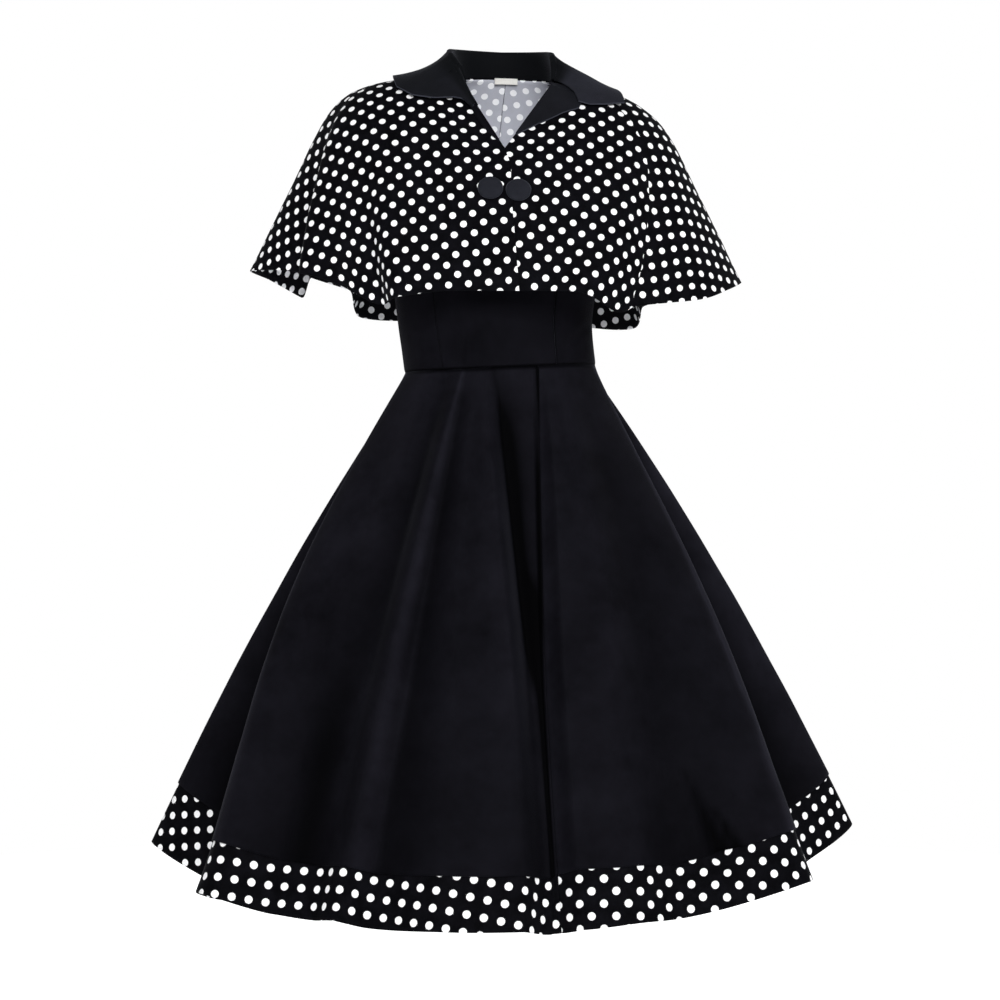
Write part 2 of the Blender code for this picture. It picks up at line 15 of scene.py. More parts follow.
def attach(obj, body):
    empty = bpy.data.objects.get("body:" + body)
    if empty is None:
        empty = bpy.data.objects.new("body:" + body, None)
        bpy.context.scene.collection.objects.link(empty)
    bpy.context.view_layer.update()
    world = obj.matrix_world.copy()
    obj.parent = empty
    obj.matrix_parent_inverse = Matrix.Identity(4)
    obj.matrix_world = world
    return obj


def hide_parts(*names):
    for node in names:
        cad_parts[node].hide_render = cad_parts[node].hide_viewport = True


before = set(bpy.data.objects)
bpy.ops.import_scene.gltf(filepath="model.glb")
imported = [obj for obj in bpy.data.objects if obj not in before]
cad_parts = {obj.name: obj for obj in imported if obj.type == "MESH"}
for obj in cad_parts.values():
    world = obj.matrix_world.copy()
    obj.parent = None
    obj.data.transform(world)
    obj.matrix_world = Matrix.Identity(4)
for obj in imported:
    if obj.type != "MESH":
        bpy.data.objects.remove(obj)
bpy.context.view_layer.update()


# Floor, light and camera. A pale floor far below the hem with a painted glow that grows away from
# the dress, a white room that is brightest behind it, soft lamps, and a level camera in front of
# its middle.
FLOOR_HEIGHT = -1.46
FLOOR_REACH = 3.0
FLOOR_SIDES = 96
FLOOR_PAINT = (0.86, 0.86, 0.87)
FLOOR_ROUGH = 0.9
FLOOR_GLOW_START = 0.44
FLOOR_GLOW_END = 1.1
ROOM_FRONT = 0.16
ROOM_BEHIND = 0.5
ROOM_TURN = (-0.2, 0.6)
LENS = 75.06
CAMERA_BACK = 2.7
CAMERA_HEIGHT = -0.5374
BLACK = (0, 0, 0, 1)
WHITE = (1, 1, 1, 1)


class Socket:
    """A value in a node tree. Sums on it add Math nodes, and node() adds any other node."""

    def __init__(self, tree, output=None):
        self.tree = tree
        self.output = output

    def into(self, shader, name):
        self.tree.links.new(self.output, shader.inputs[name])

    def node(self, kind, settings, sockets, output=0):
        made = self.tree.nodes.new(kind)
        for name, value in settings.items():
            setattr(made, name, value)
        for name, value in sockets.items():
            if isinstance(value, Socket):
                value.into(made, name)
            else:
                made.inputs[name].default_value = value
        return Socket(self.tree, made.outputs[output])

    def parts(self):
        """The first two coordinates of a place."""
        split = self.node("ShaderNodeSeparateXYZ", {}, {0: self}).output.node
        return [Socket(self.tree, split.outputs[k]) for k in (0, 1)]

    def maths(self, operation, *others):
        values = dict(enumerate((self, *others)))
        return self.node("ShaderNodeMath", {"operation": operation}, values)

    def __add__(self, other):
        return self.maths("ADD", other)

    def __sub__(self, other):
        return self.maths("SUBTRACT", other)

    def __rsub__(self, other):
        return self * -1 + other

    def __mul__(self, other):
        return self.maths("MULTIPLY", other)

    def __truediv__(self, other):
        return self.maths("DIVIDE", other)

    __radd__ = __add__
    __rmul__ = __mul__

    def from_to(self, start, end):
        """0 at start and 1 at end, with soft ends."""
        ends = {"Value": self, "From Min": start, "From Max": end}
        return self.node("ShaderNodeMapRange", {"interpolation_type": "SMOOTHSTEP"}, ends)

    def blend(self, low, high):
        """From the first colour to the second, by this value."""
        return self.node("ShaderNodeMix", {"data_type": "RGBA"}, {0: self, 6: low, 7: high}, 2)


def opaque(colour):
    return (*colour, 1)


def new_material(name):
    """A material, the start of its node tree, and its shader."""
    material = bpy.data.materials.new(name)
    material.use_nodes = True
    tree = material.node_tree
    return material, Socket(tree), tree.nodes["Principled BSDF"]


def placed(name, data):
    """A new object of the scene."""
    piece = bpy.data.objects.new(name, data)
    bpy.context.scene.collection.objects.link(piece)
    return piece


def drawn(name, shape):
    """A finished shape as an object of the scene."""
    mesh = bpy.data.meshes.new(name)
    shape.to_mesh(mesh)
    shape.free()
    return placed(name, mesh)


def table(fields, *rows, defaults=()):
    """Rows of values under the names of their fields, with defaults for the last of these."""
    row_of = namedtuple("Row", fields, defaults=defaults)
    return [row_of(*row) for row in rows]


floor_shape = bmesh.new()
bmesh.ops.create_circle(floor_shape, cap_ends=True, radius=FLOOR_REACH, segments=FLOOR_SIDES)
bmesh.ops.translate(floor_shape, vec=(0, 0, FLOOR_HEIGHT), verts=floor_shape.verts)
floor = drawn("studio_floor", floor_shape)
floor_paint, paint, floor_shader = new_material("floor paint")
floor_shader.inputs["Base Color"].default_value = opaque(FLOOR_PAINT)
floor_shader.inputs["Roughness"].default_value = FLOOR_ROUGH
# Painted light: the floor glows, not at all under the dress and full white far from it.
floor_shader.inputs["Emission Strength"].default_value = 1.0
side, back = paint.node("ShaderNodeTexCoord", {}, {}, output=3).parts()
floor_glow = (side * side + back * back).maths("SQRT").from_to(FLOOR_GLOW_START, FLOOR_GLOW_END)
floor_glow.blend(BLACK, WHITE).into(floor_shader, "Emission Color")
floor.data.materials.append(floor_paint)

room = bpy.data.worlds.new("white room")
room.use_nodes = True
walls = Socket(room.node_tree)
_, behind = walls.node("ShaderNodeTexCoord", {}, {}, output=0).parts()
strength = behind.from_to(*ROOM_TURN) * (ROOM_BEHIND - ROOM_FRONT) + ROOM_FRONT
dim_room = walls.node("ShaderNodeBackground", {}, {"Color": WHITE, "Strength": strength})
backdrop = walls.node("ShaderNodeBackground", {}, {"Color": WHITE, "Strength": 1.0})
seen = walls.node("ShaderNodeLightPath", {}, {})
either = walls.node("ShaderNodeMixShader", {}, {0: seen, 1: dim_room, 2: backdrop})
either.into(room.node_tree.nodes["World Output"], "Surface")
bpy.context.scene.world = room
bpy.context.scene.view_settings.view_transform = "Standard"

for lamp in table(
    "name place aim_height size watts",
    ("softbox_front", (0.2, -2.5, 0.4), -0.5, 0.9, 64),
    ("softbox_left", (2.2, -1.3, 0.5), -0.5, 0.9, 17),
    ("softbox_right", (-2.2, -1.3, 0.5), -0.5, 0.9, 7),
    ("rim_left", (1.9, 1.4, 0.7), -0.6, 0.7, 6),
    ("rim_right", (-1.9, 1.4, 0.7), -0.6, 0.7, 7),
):
    light = bpy.data.lights.new(lamp.name, "AREA")
    light.size = lamp.size
    light.energy = lamp.watts
    stand = placed(lamp.name, light)
    stand.location = lamp.place
    aim = Vector((0, 0, lamp.aim_height)) - Vector(lamp.place)
    stand.rotation_euler = aim.to_track_quat("-Z", "Y").to_euler()

lens = bpy.data.cameras.new("camera")
lens.lens = LENS
camera = placed("camera", lens)
camera.location = (0, -CAMERA_BACK, CAMERA_HEIGHT)
camera.rotation_euler = (math.radians(90), 0, 0)
bpy.context.scene.camera = camera


# Skirt. Plain black cotton sateen, cut as sectors of a ring and sewn into the waist seam, so it
# falls in deep folds. A pleat opens beside the middle, and the hem is turned up and stitched.
WALL = 0.0013
SEAM_GAP = 0.0003
LAYER = WALL + SEAM_GAP
SEAM_ROLL = 0.0007
SEAM_WIDE = 0.0035
WAIST_ACROSS = 0.1235
WAIST_DEEP = 0.095
WAIST_HEIGHT = -0.3678
WAIST_FRONT_DIP = 0.0034
WAIST_TILT = 0.042
SKIRT_LENGTH = 0.7
# How far the ovals reach to the sides, the front and the back.
WAIST_OVAL = (WAIST_ACROSS, WAIST_DEEP, WAIST_DEEP)
HEM_OVAL = (0.452, 0.338, 0.37)
FLARE_BULGE = 0.012
FOLD_GROWTH = 0.85
BLACK_HEM_LEVEL = 0.908
SIDE_SEAM_RIGHT = -95
SIDE_SEAM_LEFT = 99
PLEAT_SEAM = 13
SKIRT_CUT_RADIUS = 0.966
FINER = 5
SKIRT_ROWS = 110
# Factors that bring level * (1 - level) and level * (1 - level)**2 up to 1 at most.
BULGE_PEAK = 4
CREASE_PEAK = 6.75

# A row for each crest and trough of the skirt: its angle at the waist and at the hem, how far it
# stands out at the hem and halfway down, how pale it is painted (0 for painted shade deep in a
# fold,
# 1 for painted light on a crest), the coarse columns from it to the next row, how much shorter the
# black cloth is there, and how early it turns from one angle to the other (0 to 1).
SKIRT_FOLDS = table(
    "waist hem relief crease pale columns short early",
    (-180, -180, -0.024, 0, 0.35, 4),
    (-163, -164, 0.024, 0, 0.45, 4),
    (-147, -147, -0.034, 0, 0.3, 4),
    (-133, -131, 0.03, 0, 0.48, 4),
    (-119, -113, -0.036, 0, 0.3, 4, 0.008),
    (-105, -95, 0.01, 0.01, 0.58, 4, 0.026),
    (-98, -86, -0.074, -0.012, 0, 3, 0.02),
    (-91, -72, -0.07, -0.028, 0, 4, 0.004),
    (-76, -52, 0.042, -0.006, 0.5, 4),
    (-58, -44, 0.004, -0.008, 0.34, 3),
    (-40, -38, -0.006, -0.006, 0.18, 3),
    (-29, -31, 0.012, 0.006, 0.34, 3),
    (-25, -26.5, -0.014, -0.002, 0.15, 3),
    (-17, -10, 0.004, 0.002, 0.42, 4, 0, 0.5),
    (-11, 4, 0.008, 0.006, 0.46, 4, 0, 1),
    (-2, 11, -0.026, -0.026, 0.38, 2, 0, 1),
    (24, 12, -0.03, -0.018, 0.4, 2, 0, 1),
    (29, 13, -0.028, -0.012, 0.42, 3, 0.004, 1),
    (33, 17, -0.01, 0.004, 0.44, 3, 0.006, 1),
    (41, 27, 0, 0.002, 0.43, 3, 0.002, 0.5),
    (54, 37, -0.016, -0.004, 0.24, 4),
    (76, 56, 0.032, -0.016, 0.42, 4),
    (92, 76, -0.08, -0.03, 0, 3),
    (99, 89, -0.056, -0.01, 0, 3, 0.008),
    (107, 99, 0.026, 0.01, 0.85, 4, 0.014),
    (120, 115, -0.03, 0, 0.3, 4, 0.004),
    (132, 131, 0.026, 0, 0.48, 4),
    (147, 147, -0.032, 0, 0.3, 4),
    (163, 163, 0.022, 0, 0.45, 4),
    (180, 180, -0.024, 0, 0.35, 0),
    defaults=(0, 0),
)


def crease_table(*rows):
    """Small creases in front view: each from its upper to its lower end, how wide and how deep it
    is, the share of both that is left at the upper end, and how much painted shade darkens it.
    """
    return table("top foot wide deep head dye", *rows, defaults=(1.0, 0.0))


SKIRT_CREASES = crease_table(
    ((0.218, -0.858), (0.262, -0.957), 0.012, 0.016, 0.2, 1.5),
    ((0.256, -0.905), (0.281, -0.95), 0.006, 0.006, 0.5, 1.5),
    ((-0.012, -0.4), (-0.01, -0.47), 0.006, 0.003),
    ((0.07, -0.385), (0.092, -0.52), 0.008, 0.003),
    ((-0.075, -0.385), (-0.12, -0.56), 0.01, 0.004),
)


def smooth(share):
    """0 to 1 with level ends."""
    share = min(max(share, 0.0), 1.0)
    return share * share * (3 - 2 * share)


def mix(low, high, share):
    return low + (high - low) * share


def mixed(before, after, share):
    """A row between two rows of a table."""
    return type(before)(*(mix(low, high, share) for low, high in zip(before, after)))


def bell(off):
    """1 in the middle, and close to 0 from two widths off."""
    return math.exp(-off * off)


def neighbours(rows, key, at):
    """The two rows round `at`, and how far it lies from the first to the second."""
    for before, after in zip(rows, rows[1:]):
        low, high = getattr(before, key), getattr(after, key)
        if min(low, high) <= at <= max(low, high):
            return before, after, (at - low) / (high - low)
    end = min(rows[0], rows[-1], key=lambda row: abs(at - getattr(row, key)))
    return end, end, 0.0


def oval(angle, across, front, back):
    """Distance from the axis to an oval at a true angle in degrees."""
    sine, cosine = math.sin(math.radians(angle)), math.cos(math.radians(angle))
    deep = front if cosine > 0 else back
    return 1 / math.hypot(sine / across, cosine / deep)


def outward(angle, distance, height=0.0):
    turn = math.radians(angle)
    return Vector((distance * math.sin(turn), -distance * math.cos(turn), height))


def waist_height(point):
    dip = WAIST_FRONT_DIP * max(-point.y / WAIST_DEEP, 0) ** 2
    return WAIST_HEIGHT - dip + WAIST_TILT * point.x


def skirt_point(angle, level):
    """Outside of the skirt. The angle is the one at the hem, and level runs from waist to hem."""
    before, after, share = neighbours(SKIRT_FOLDS, "hem", angle)
    straight, soft = mixed(before, after, share), mixed(before, after, smooth(share))
    turn = mix(smooth(level), 1 - (1 - level) ** 3, straight.early)
    here = mix(straight.waist, angle, turn)
    top = outward(straight.waist, oval(straight.waist, *WAIST_OVAL))
    hem = oval(angle, *HEM_OVAL) + soft.relief
    distance = mix(oval(here, *WAIST_OVAL), oval(here, *HEM_OVAL), level)
    distance += soft.relief * max(level, 0) ** FOLD_GROWTH
    distance += FLARE_BULGE * BULGE_PEAK * level * (1 - level)
    distance += soft.crease * CREASE_PEAK * level * (1 - level) ** 2
    fall = math.sqrt(SKIRT_LENGTH**2 - (hem - top.length) ** 2)
    return outward(here, distance, waist_height(top) - level * fall)


def crease_share(point, crease):
    """How far a point of the front lies in a crease, from 0 to 1."""
    if point.y > 0:
        return 0.0
    top, foot = Vector(crease.top), Vector(crease.foot)
    run = foot - top
    along = min(max((point.xz - top).dot(run) / run.length_squared, 0), 1)
    grown = mix(crease.head, 1.0, along)
    return grown * bell((point.xz - top - run * along).length / (crease.wide * grown))


def creased(point, creases):
    """A point pressed back where it lies in a crease."""
    for crease in creases:
        point.y += crease.deep * crease_share(point, crease)
    return point


def rumpled(point, size=0.0006, often=14):
    """A point moved by the slight unevenness of worn cloth."""
    return point + Vector((point.x, point.y, 0)).normalized() * (noise.noise(point * often) * size)


def black_skirt_point(angle, level):
    """The skirt's surface down to the black hem, which is shorter on the side folds."""
    before, after, share = neighbours(SKIRT_FOLDS, "hem", angle)
    short = mix(before.short, after.short, smooth(share))
    point = skirt_point(angle, level * (1 - short / SKIRT_LENGTH))
    return rumpled(creased(point, SKIRT_CREASES))


# Painted streaks: painted highlight on a crest or a lit wall, and painted shade deep in a sharp
# fold. Each has its angle at the hem, its width in degrees, its strength, and the levels where it
# starts and ends.
SKIRT_STREAKS = table(
    "angle wide strength start end",
    (-53.5, 1.4, 0.4),
    (-46, 3, -0.1, 0.72),
    (-43, 4.5, 0.18, -1, 0.48),
    (-41.5, 3, -0.2, 0.52),
    (-36.3, 2.2, 0.26, 0.4, 0.9),
    (-29.3, 1.1, 0.3),
    (-28.5, 2.2, 0.12, -1, 0.55),
    (-27.6, 1.3, 0.2, 0.5),
    (-26.3, 1, 0.16, 0.3, 0.8),
    (6.5, 4.5, -0.16, 0.62),
    (8.8, 2, -0.22, -1, 0.2),
    (10.7, 0.75, -0.9, -0.02, 0.62),
    (11.15, 0.2, -0.6, 0.16, 0.6),
    (9.6, 1, -0.4, -0.02, 0.3),
    (11.5, 0.5, -0.8, 0.34, 0.64),
    (12, 0.4, -1, 0.36),
    (12.7, 0.4, -0.6, 0.04, 0.6),
    (13, 0.45, -0.9, -1, 0.17),
    (14, 1, 0.26, 0),
    (57.6, 1.4, 0.9),
    (57.4, 1.6, 3.5, -1, 0.7),
    (66, 5, -0.5),
    defaults=(-1, 1.5),
)
STREAK_FADE = 5
# The painted light and shade fades to an even tone near the waist, and the skirt grows paler
# towards the waist and darker towards the hem.
EVEN_PALE = 0.42
EVEN_FADE = 5
PALER_WAIST, DEEPER_HEM = 1.15, 0.8
WAIST_SEAM_LEVEL = 0.004


def skirt_painted_light(angle, level):
    """How pale the skirt is painted: even near the waist, painted light on the crests, and painted
    shade in the folds, the creases and the waist seam.
    """
    before, after, share = neighbours(SKIRT_FOLDS, "hem", angle)
    pale = mix(before.pale, after.pale, smooth(share))
    pale = mix(EVEN_PALE, pale, smooth(level * EVEN_FADE)) * mix(PALER_WAIST, DEEPER_HEM, level)
    for streak in SKIRT_STREAKS:
        begun = smooth((level - streak.start) * STREAK_FADE)
        left = smooth((streak.end - level) * STREAK_FADE)
        pale += streak.strength * left * begun * bell((angle - streak.angle) / streak.wide)
    point = skirt_point(angle, level)
    # Painted shade in the creases.
    for crease in SKIRT_CREASES:
        pale *= 1 - min(crease.dye * crease_share(point, crease), 1)
    # Painted shade: the waist seam row is black.
    return max(pale, 0) if level > WAIST_SEAM_LEVEL else 0


def fold_columns(folds, start, end):
    """Fine mesh columns from start to end, with one on each crest and trough between."""
    columns = []
    for before, after in zip(folds, folds[1:]):
        steps = before.columns * FINER
        columns += [mix(before.hem, after.hem, k / steps) for k in range(steps)]
    return [start, *(angle for angle in columns if start + 0.1 < angle < end - 0.1), end]


def outward_normal(surface, across, down, step=0.002):
    """Unit normal of a surface of (angle, level), pointing away from the body."""
    along = surface(across + 1, down) - surface(across - 1, down)
    up = surface(across, down - step) - surface(across, down + step)
    return along.cross(up).normalized()


def lifted(surface, lift):
    """The same surface moved out along its normal."""

    def moved(across, down):
        return surface(across, down) + outward_normal(surface, across, down) * lift

    return moved


def running_total(points):
    """Distance along a line of points, at each of them."""
    totals = [0.0]
    for before, after in zip(points, points[1:]):
        totals.append(totals[-1] + (after - before).length)
    return totals


def cloth_sheet(
    name, surface, columns, rows, sewn="", cut_radius=None, turn=0.0, hem_last=True, mark=None
):
    """One layer of cloth over a grid of columns and rows, facing out.

    Sewn edges (start, end, or waist for the first row) roll in to meet their neighbour. The map
    "edge" runs along the hem and up from it in metres. The map "cloth" is the flat cut, turned in
    degrees: with a cut radius it is a sector of a ring, and without one it is the "edge" map,
    turned, which unfold() can replace later. A mark is an attribute's name and its value for each
    column and row.
    """
    across, down = len(columns) - 1, len(rows) - 1
    points = [[surface(column, row) for row in rows] for column in columns]
    shape = bmesh.new()
    bmesh.ops.create_grid(shape, x_segments=across, y_segments=down, size=1.0)
    along = running_total([column[down if hem_last else 0] for column in points])
    heights = [running_total(column[::-1] if hem_last else column) for column in points]
    edge_map = shape.loops.layers.uv.new("edge")
    cloth_map = shape.loops.layers.uv.new("cloth")
    if mark:
        marked, value_at = shape.verts.layers.float.new(mark[0]), mark[1]
    spin = Matrix.Rotation(math.radians(turn), 2)
    maps = {}
    for vert in shape.verts:
        i = round((vert.co.x + 1) / 2 * across)
        j = round((vert.co.y + 1) / 2 * down)
        here = points[i][j]
        if mark:
            vert[marked] = value_at(columns[i], rows[j])
        edge = flat = Vector((along[i], heights[i][down - j if hem_last else j]))
        if cut_radius:
            angle = (edge.x - along[-1] / 2) / cut_radius
            flat = Vector((math.sin(angle), -math.cos(angle))) * (cut_radius - edge.y)
        maps[vert] = edge, spin @ flat
        seams = {"start": points[0][j], "end": points[across][j], "waist": points[i][0]}
        near = min([(here - seams[seam]).length for seam in sewn.split()], default=SEAM_WIDE)
        roll = max(1 - near / SEAM_WIDE, 0) ** 2 * SEAM_ROLL
        vert.co = here - Vector((here.x, here.y, 0)).normalized() * roll
    for face in shape.faces:
        for loop in face.loops:
            loop[edge_map].uv, loop[cloth_map].uv = maps[loop.vert]
    shape.normal_update()
    facing = sum((face.normal * face.calc_area() for face in shape.faces), Vector())
    if facing.xy.dot((points[across // 2][0] + points[across // 2][down]).xy) < 0:
        bmesh.ops.reverse_faces(shape, faces=shape.faces)
    piece = drawn(name, shape)
    piece.data.shade_smooth()
    return piece


def made_up(piece, cloths, node, thick=WALL):
    """Gives a sheet its two sides and its thickness, and puts it in its node's place."""
    for cloth in cloths:
        piece.data.materials.append(cloth)
    layer = piece.modifiers.new("cloth thickness", "SOLIDIFY")
    layer.thickness = thick
    layer.offset = -1
    layer.material_offset = len(cloths) - 1
    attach(piece, "root")
    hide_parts(node)


THREAD = 0.00042
STITCH_LENGTH = 0.0026
STITCH_WIDE = 0.0005
STITCH_HEIGHT = 5
BUMP_DEPTH = 0.0002
WEAVE_RISE, YARN_RISE, CLOTH_RISE = 0.5, 0.7, 1.5
ROUGH, ROUGHER_CLOTH, ROUGHER_YARN = 0.66, 0.14, 0.08
# Scale, detail and roughness of the unevenness of the cloth, of its yarn and of its wear.
CLOTH_UNEVEN = (55.0, 4.0, 0.6)
YARN_UNEVEN = (900.0, 2.0, 0.5)
WEAR_UNEVEN = (11.0, 5.0, 0.65)


def unevenness(start, scale, detail, rough):
    """A value that wanders with the place in space, and not along the threads."""
    solid = start.node("ShaderNodeTexCoord", {}, {}, output=3)
    sockets = {"Vector": solid, "Scale": scale, "Detail": detail, "Roughness": rough}
    return start.node("ShaderNodeTexNoise", {}, sockets)


# What a finish can use: the start of the tree, the place on the flat cut, the height above the
# hem, and the unevenness of the cloth and of its yarn.
Weave = namedtuple("Weave", "start across down above uneven slub")


def woven(name, finish, sheen, bump=0.25, stitched_at=None, twill=0.0, shine=0.05):
    """A cotton cloth: threads over and under, uneven yarn, and a line of stitches above the hem.

    The finish gives the colour. Sheen is the weight, roughness and tint of the nap.
    """
    cloth, start, shader = new_material(name)
    across, down = start.node("ShaderNodeUVMap", {"uv_map": "cloth"}, {}).parts()
    far, above = start.node("ShaderNodeUVMap", {"uv_map": "edge"}, {}).parts()
    uneven, slub = unevenness(start, *CLOTH_UNEVEN), unevenness(start, *YARN_UNEVEN)
    yarn = math.tau / THREAD
    warp = (across * yarn + down * (yarn * twill)).maths("SINE")
    weft = (down * yarn).maths("SINE")
    weave = warp * weft * (0.7 + slub * 0.6)
    height = weave * WEAVE_RISE + slub * YARN_RISE + uneven * CLOTH_RISE
    if stitched_at:
        off = (above - stitched_at).maths("ABSOLUTE")
        line = off.from_to(STITCH_WIDE, STITCH_WIDE * 0.4)
        gap = (far / STITCH_LENGTH).maths("FRACT")
        thread = gap.from_to(0.1, 0.22) * gap.from_to(0.92, 0.8)
        height = height + line * (thread * STITCH_HEIGHT - STITCH_HEIGHT / 2)
    ridge = start.node(
        "ShaderNodeBump", {}, {"Strength": bump, "Distance": BUMP_DEPTH, "Height": height}
    )
    colour = finish(Weave(start, across, down, above, uneven, slub))
    rough = ROUGH + uneven * ROUGHER_CLOTH + slub * ROUGHER_YARN
    colour.into(shader, "Base Color")
    ridge.into(shader, "Normal")
    rough.into(shader, "Roughness")
    shader.inputs["Specular IOR Level"].default_value = shine
    weight, nap, tint = sheen
    shader.inputs["Sheen Weight"].default_value = weight
    shader.inputs["Sheen Roughness"].default_value = nap
    shader.inputs["Sheen Tint"].default_value = opaque(tint)
    return cloth


def shade_painted_finish(deep, pale):
    """Dyed cloth from deep to pale by an attribute that holds tone and painted light and shade,
    broken into random blotches.
    """

    def finish(weave):
        start = weave.start
        tone_and_painted_light = start.node("ShaderNodeAttribute", {"attribute_name": "tone_and_painted_light"}, {}, output=2)
        blotches = unevenness(start, *WEAR_UNEVEN)
        patchy = tone_and_painted_light * (blotches * 1.8 + weave.uneven * 0.6 + weave.slub * 0.5 - 0.6)
        return patchy.blend(opaque(deep), opaque(pale))

    return finish


# The deepest black is painted shade in the folds, and the palest is painted light on crests and
# lit walls.
BLACK_PAINTED_SHADE = (0.0005, 0.0005, 0.0008)
BLACK_PAINTED_LIGHT = (0.0112, 0.0109, 0.0158)
BLACK_HEM_STITCH = 0.012
black_cloth = woven(
    "black cotton sateen",
    shade_painted_finish(BLACK_PAINTED_SHADE, BLACK_PAINTED_LIGHT),
    sheen=(0.03, 0.28, (0.75, 0.78, 1.0)),
    stitched_at=BLACK_HEM_STITCH,
    twill=0.5,
    shine=0.02,
)

SKIRT_PANELS = table(
    "side start end cut cut_area",
    ("front_right", SIDE_SEAM_RIGHT, PLEAT_SEAM, (0.8, 0.73), 0.37),
    ("front_left", PLEAT_SEAM, SIDE_SEAM_LEFT, (0.72, 0.73), 0.3),
    ("back_right", -180, SIDE_SEAM_RIGHT, (0.62, 0.73), 0.25),
    ("back_left", SIDE_SEAM_LEFT, 180, (0.62, 0.73), 0.24),
)


def shares(count, times=1):
    """Values 1 / count apart, from 0 to `times`."""
    return [k / count for k in range(count * times + 1)]


skirt_rows = [BLACK_HEM_LEVEL * share for share in shares(SKIRT_ROWS)]
for panel in SKIRT_PANELS:
    skirt = cloth_sheet(
        f"skirt_cloth_{panel.side}",
        black_skirt_point,
        fold_columns(SKIRT_FOLDS, panel.start, panel.end),
        skirt_rows,
        sewn="start end waist",
        cut_radius=SKIRT_CUT_RADIUS,
        mark=("tone_and_painted_light", skirt_painted_light),
    )
    made_up(skirt, [black_cloth], f"skirt_{panel.side}")


# Hem band. The same spotted cotton as the capelet, cut as a narrow ring and sewn inside the black
# hem, so it hangs a little below it. Its dots turn slowly against the hem, as the cut is curved.
BAND_TOP = 0.86
BAND_ROWS = 26
BAND_STITCH = 0.006
BAND_TURNED_UP = 0.01
SPOT_STEP_BAND = 0.02
SPOT_RADIUS_BAND = 0.00465
SPOT_WHITE = (0.84, 0.84, 0.85)
SPOT_GROUND = ((0.0008, 0.0008, 0.0012), (0.004, 0.004, 0.0056))
WRONG_SIDE_GROUND = ((0.44, 0.45, 0.51), (0.4928, 0.504, 0.5712))
WRONG_SIDE_SPOT = (0.94, 0.95, 0.98)
SPOT_EDGE = 0.00018
SPOT_WOBBLE = 0.0008
YARN_SHADES = (0.3, 0.75)
SOAKED = 1.1


def dyed_finish(deep, light):
    """Dyed cloth whose colour shifts a little with the yarn."""

    def finish(weave):
        shade = weave.uneven * 0.6 + weave.slub * 0.4
        return shade.from_to(*YARN_SHADES).blend(opaque(deep), opaque(light))

    return finish


def spotted_finish(step, radius, spot, ground_colours, turned_up=0.0):
    """Dots printed in square rows on a dark ground, with slightly uneven edges.

    Up to `turned_up` above the hem the wrong side shows the right side again.
    """

    def finish(weave):
        column = (weave.across / step).maths("FRACT") - 0.5
        row = (weave.down / step).maths("FRACT") - 0.5
        wobble = (weave.slub - 0.5) * SPOT_WOBBLE
        off = (column * column + row * row).maths("SQRT") * step + wobble
        inside = off.from_to(radius + SPOT_EDGE, radius - SPOT_EDGE)
        ground = dyed_finish(*ground_colours)(weave)
        if turned_up:
            over = weave.above.from_to(turned_up + SPOT_EDGE, turned_up - SPOT_EDGE)
            ground = over.blend(ground, opaque(SPOT_GROUND[1]))
        return inside.blend(ground, opaque(spot))

    return finish


def spotted(name, step, radius, stitched_at, turned_up):
    """The two sides of the spotted cotton, the right side first."""
    right_side = woven(
        name,
        spotted_finish(step, radius, SPOT_WHITE, SPOT_GROUND),
        sheen=(0.02, 0.3, (0.85, 0.87, 1.0)),
        stitched_at=stitched_at,
        shine=0.02,
    )
    wrong_side = woven(
        f"{name}, wrong side",
        spotted_finish(step, radius * SOAKED, WRONG_SIDE_SPOT, WRONG_SIDE_GROUND, turned_up),
        sheen=(0.0, 0.35, (1.0, 1.0, 1.0)),
        stitched_at=stitched_at,
    )
    return [right_side, wrong_side]


band_cloth = spotted(
    "spotted cotton of the band", SPOT_STEP_BAND, SPOT_RADIUS_BAND, BAND_STITCH, BAND_TURNED_UP
)
BAND_PANELS = table(
    "side turn cut cut_area",
    ("front_right", -7, (0.8, 0.22), 0.08),
    ("front_left", -21.5, (0.72, 0.22), 0.068),
    ("back_right", 0, (0.62, 0.2), 0.064),
    ("back_left", 0, (0.62, 0.2), 0.062),
)
under_skirt = lifted(skirt_point, -LAYER - SEAM_GAP)


def band_surface(angle, level):
    return rumpled(creased(under_skirt(angle, level), SKIRT_CREASES))


band_rows = [mix(BAND_TOP, 1.0, share) for share in shares(BAND_ROWS)]
for panel, band in zip(SKIRT_PANELS, BAND_PANELS):
    hem_band = cloth_sheet(
        f"band_cloth_{band.side}",
        band_surface,
        fold_columns(SKIRT_FOLDS, panel.start, panel.end),
        band_rows,
        sewn="start end",
        cut_radius=SKIRT_CUT_RADIUS,
        turn=band.turn,
    )
    made_up(hem_band, band_cloth, f"hem_band_{band.side}")


# Bodice. The black cloth again, fitted close in a front, two sides and two backs that meet in
# princess seams and side seams. It is drawn in at the waist seam and pulls in small creases there.
BODICE_RINGS = table(
    "at across front back rise shift tilt cup",
    (0, WAIST_ACROSS, WAIST_DEEP, WAIST_DEEP, 0, 0, WAIST_TILT, 0),
    (0.25, 0.1255, 0.0985, 0.097, 0.058, -0.006, 0.02, 0),
    (0.5, 0.133, 0.103, 0.101, 0.116, -0.006, 0, 0.003),
    (0.75, 0.14, 0.108, 0.105, 0.175, -0.005, -0.02, 0.014),
    (1, 0.136, 0.102, 0.104, 0.232, -0.003, -0.035, 0.006),
)
PRINCESS_SEAM = 43
BODICE_SIDE_SEAM = 90
BODICE_PALE = 0.3
BODICE_ROWS = 70
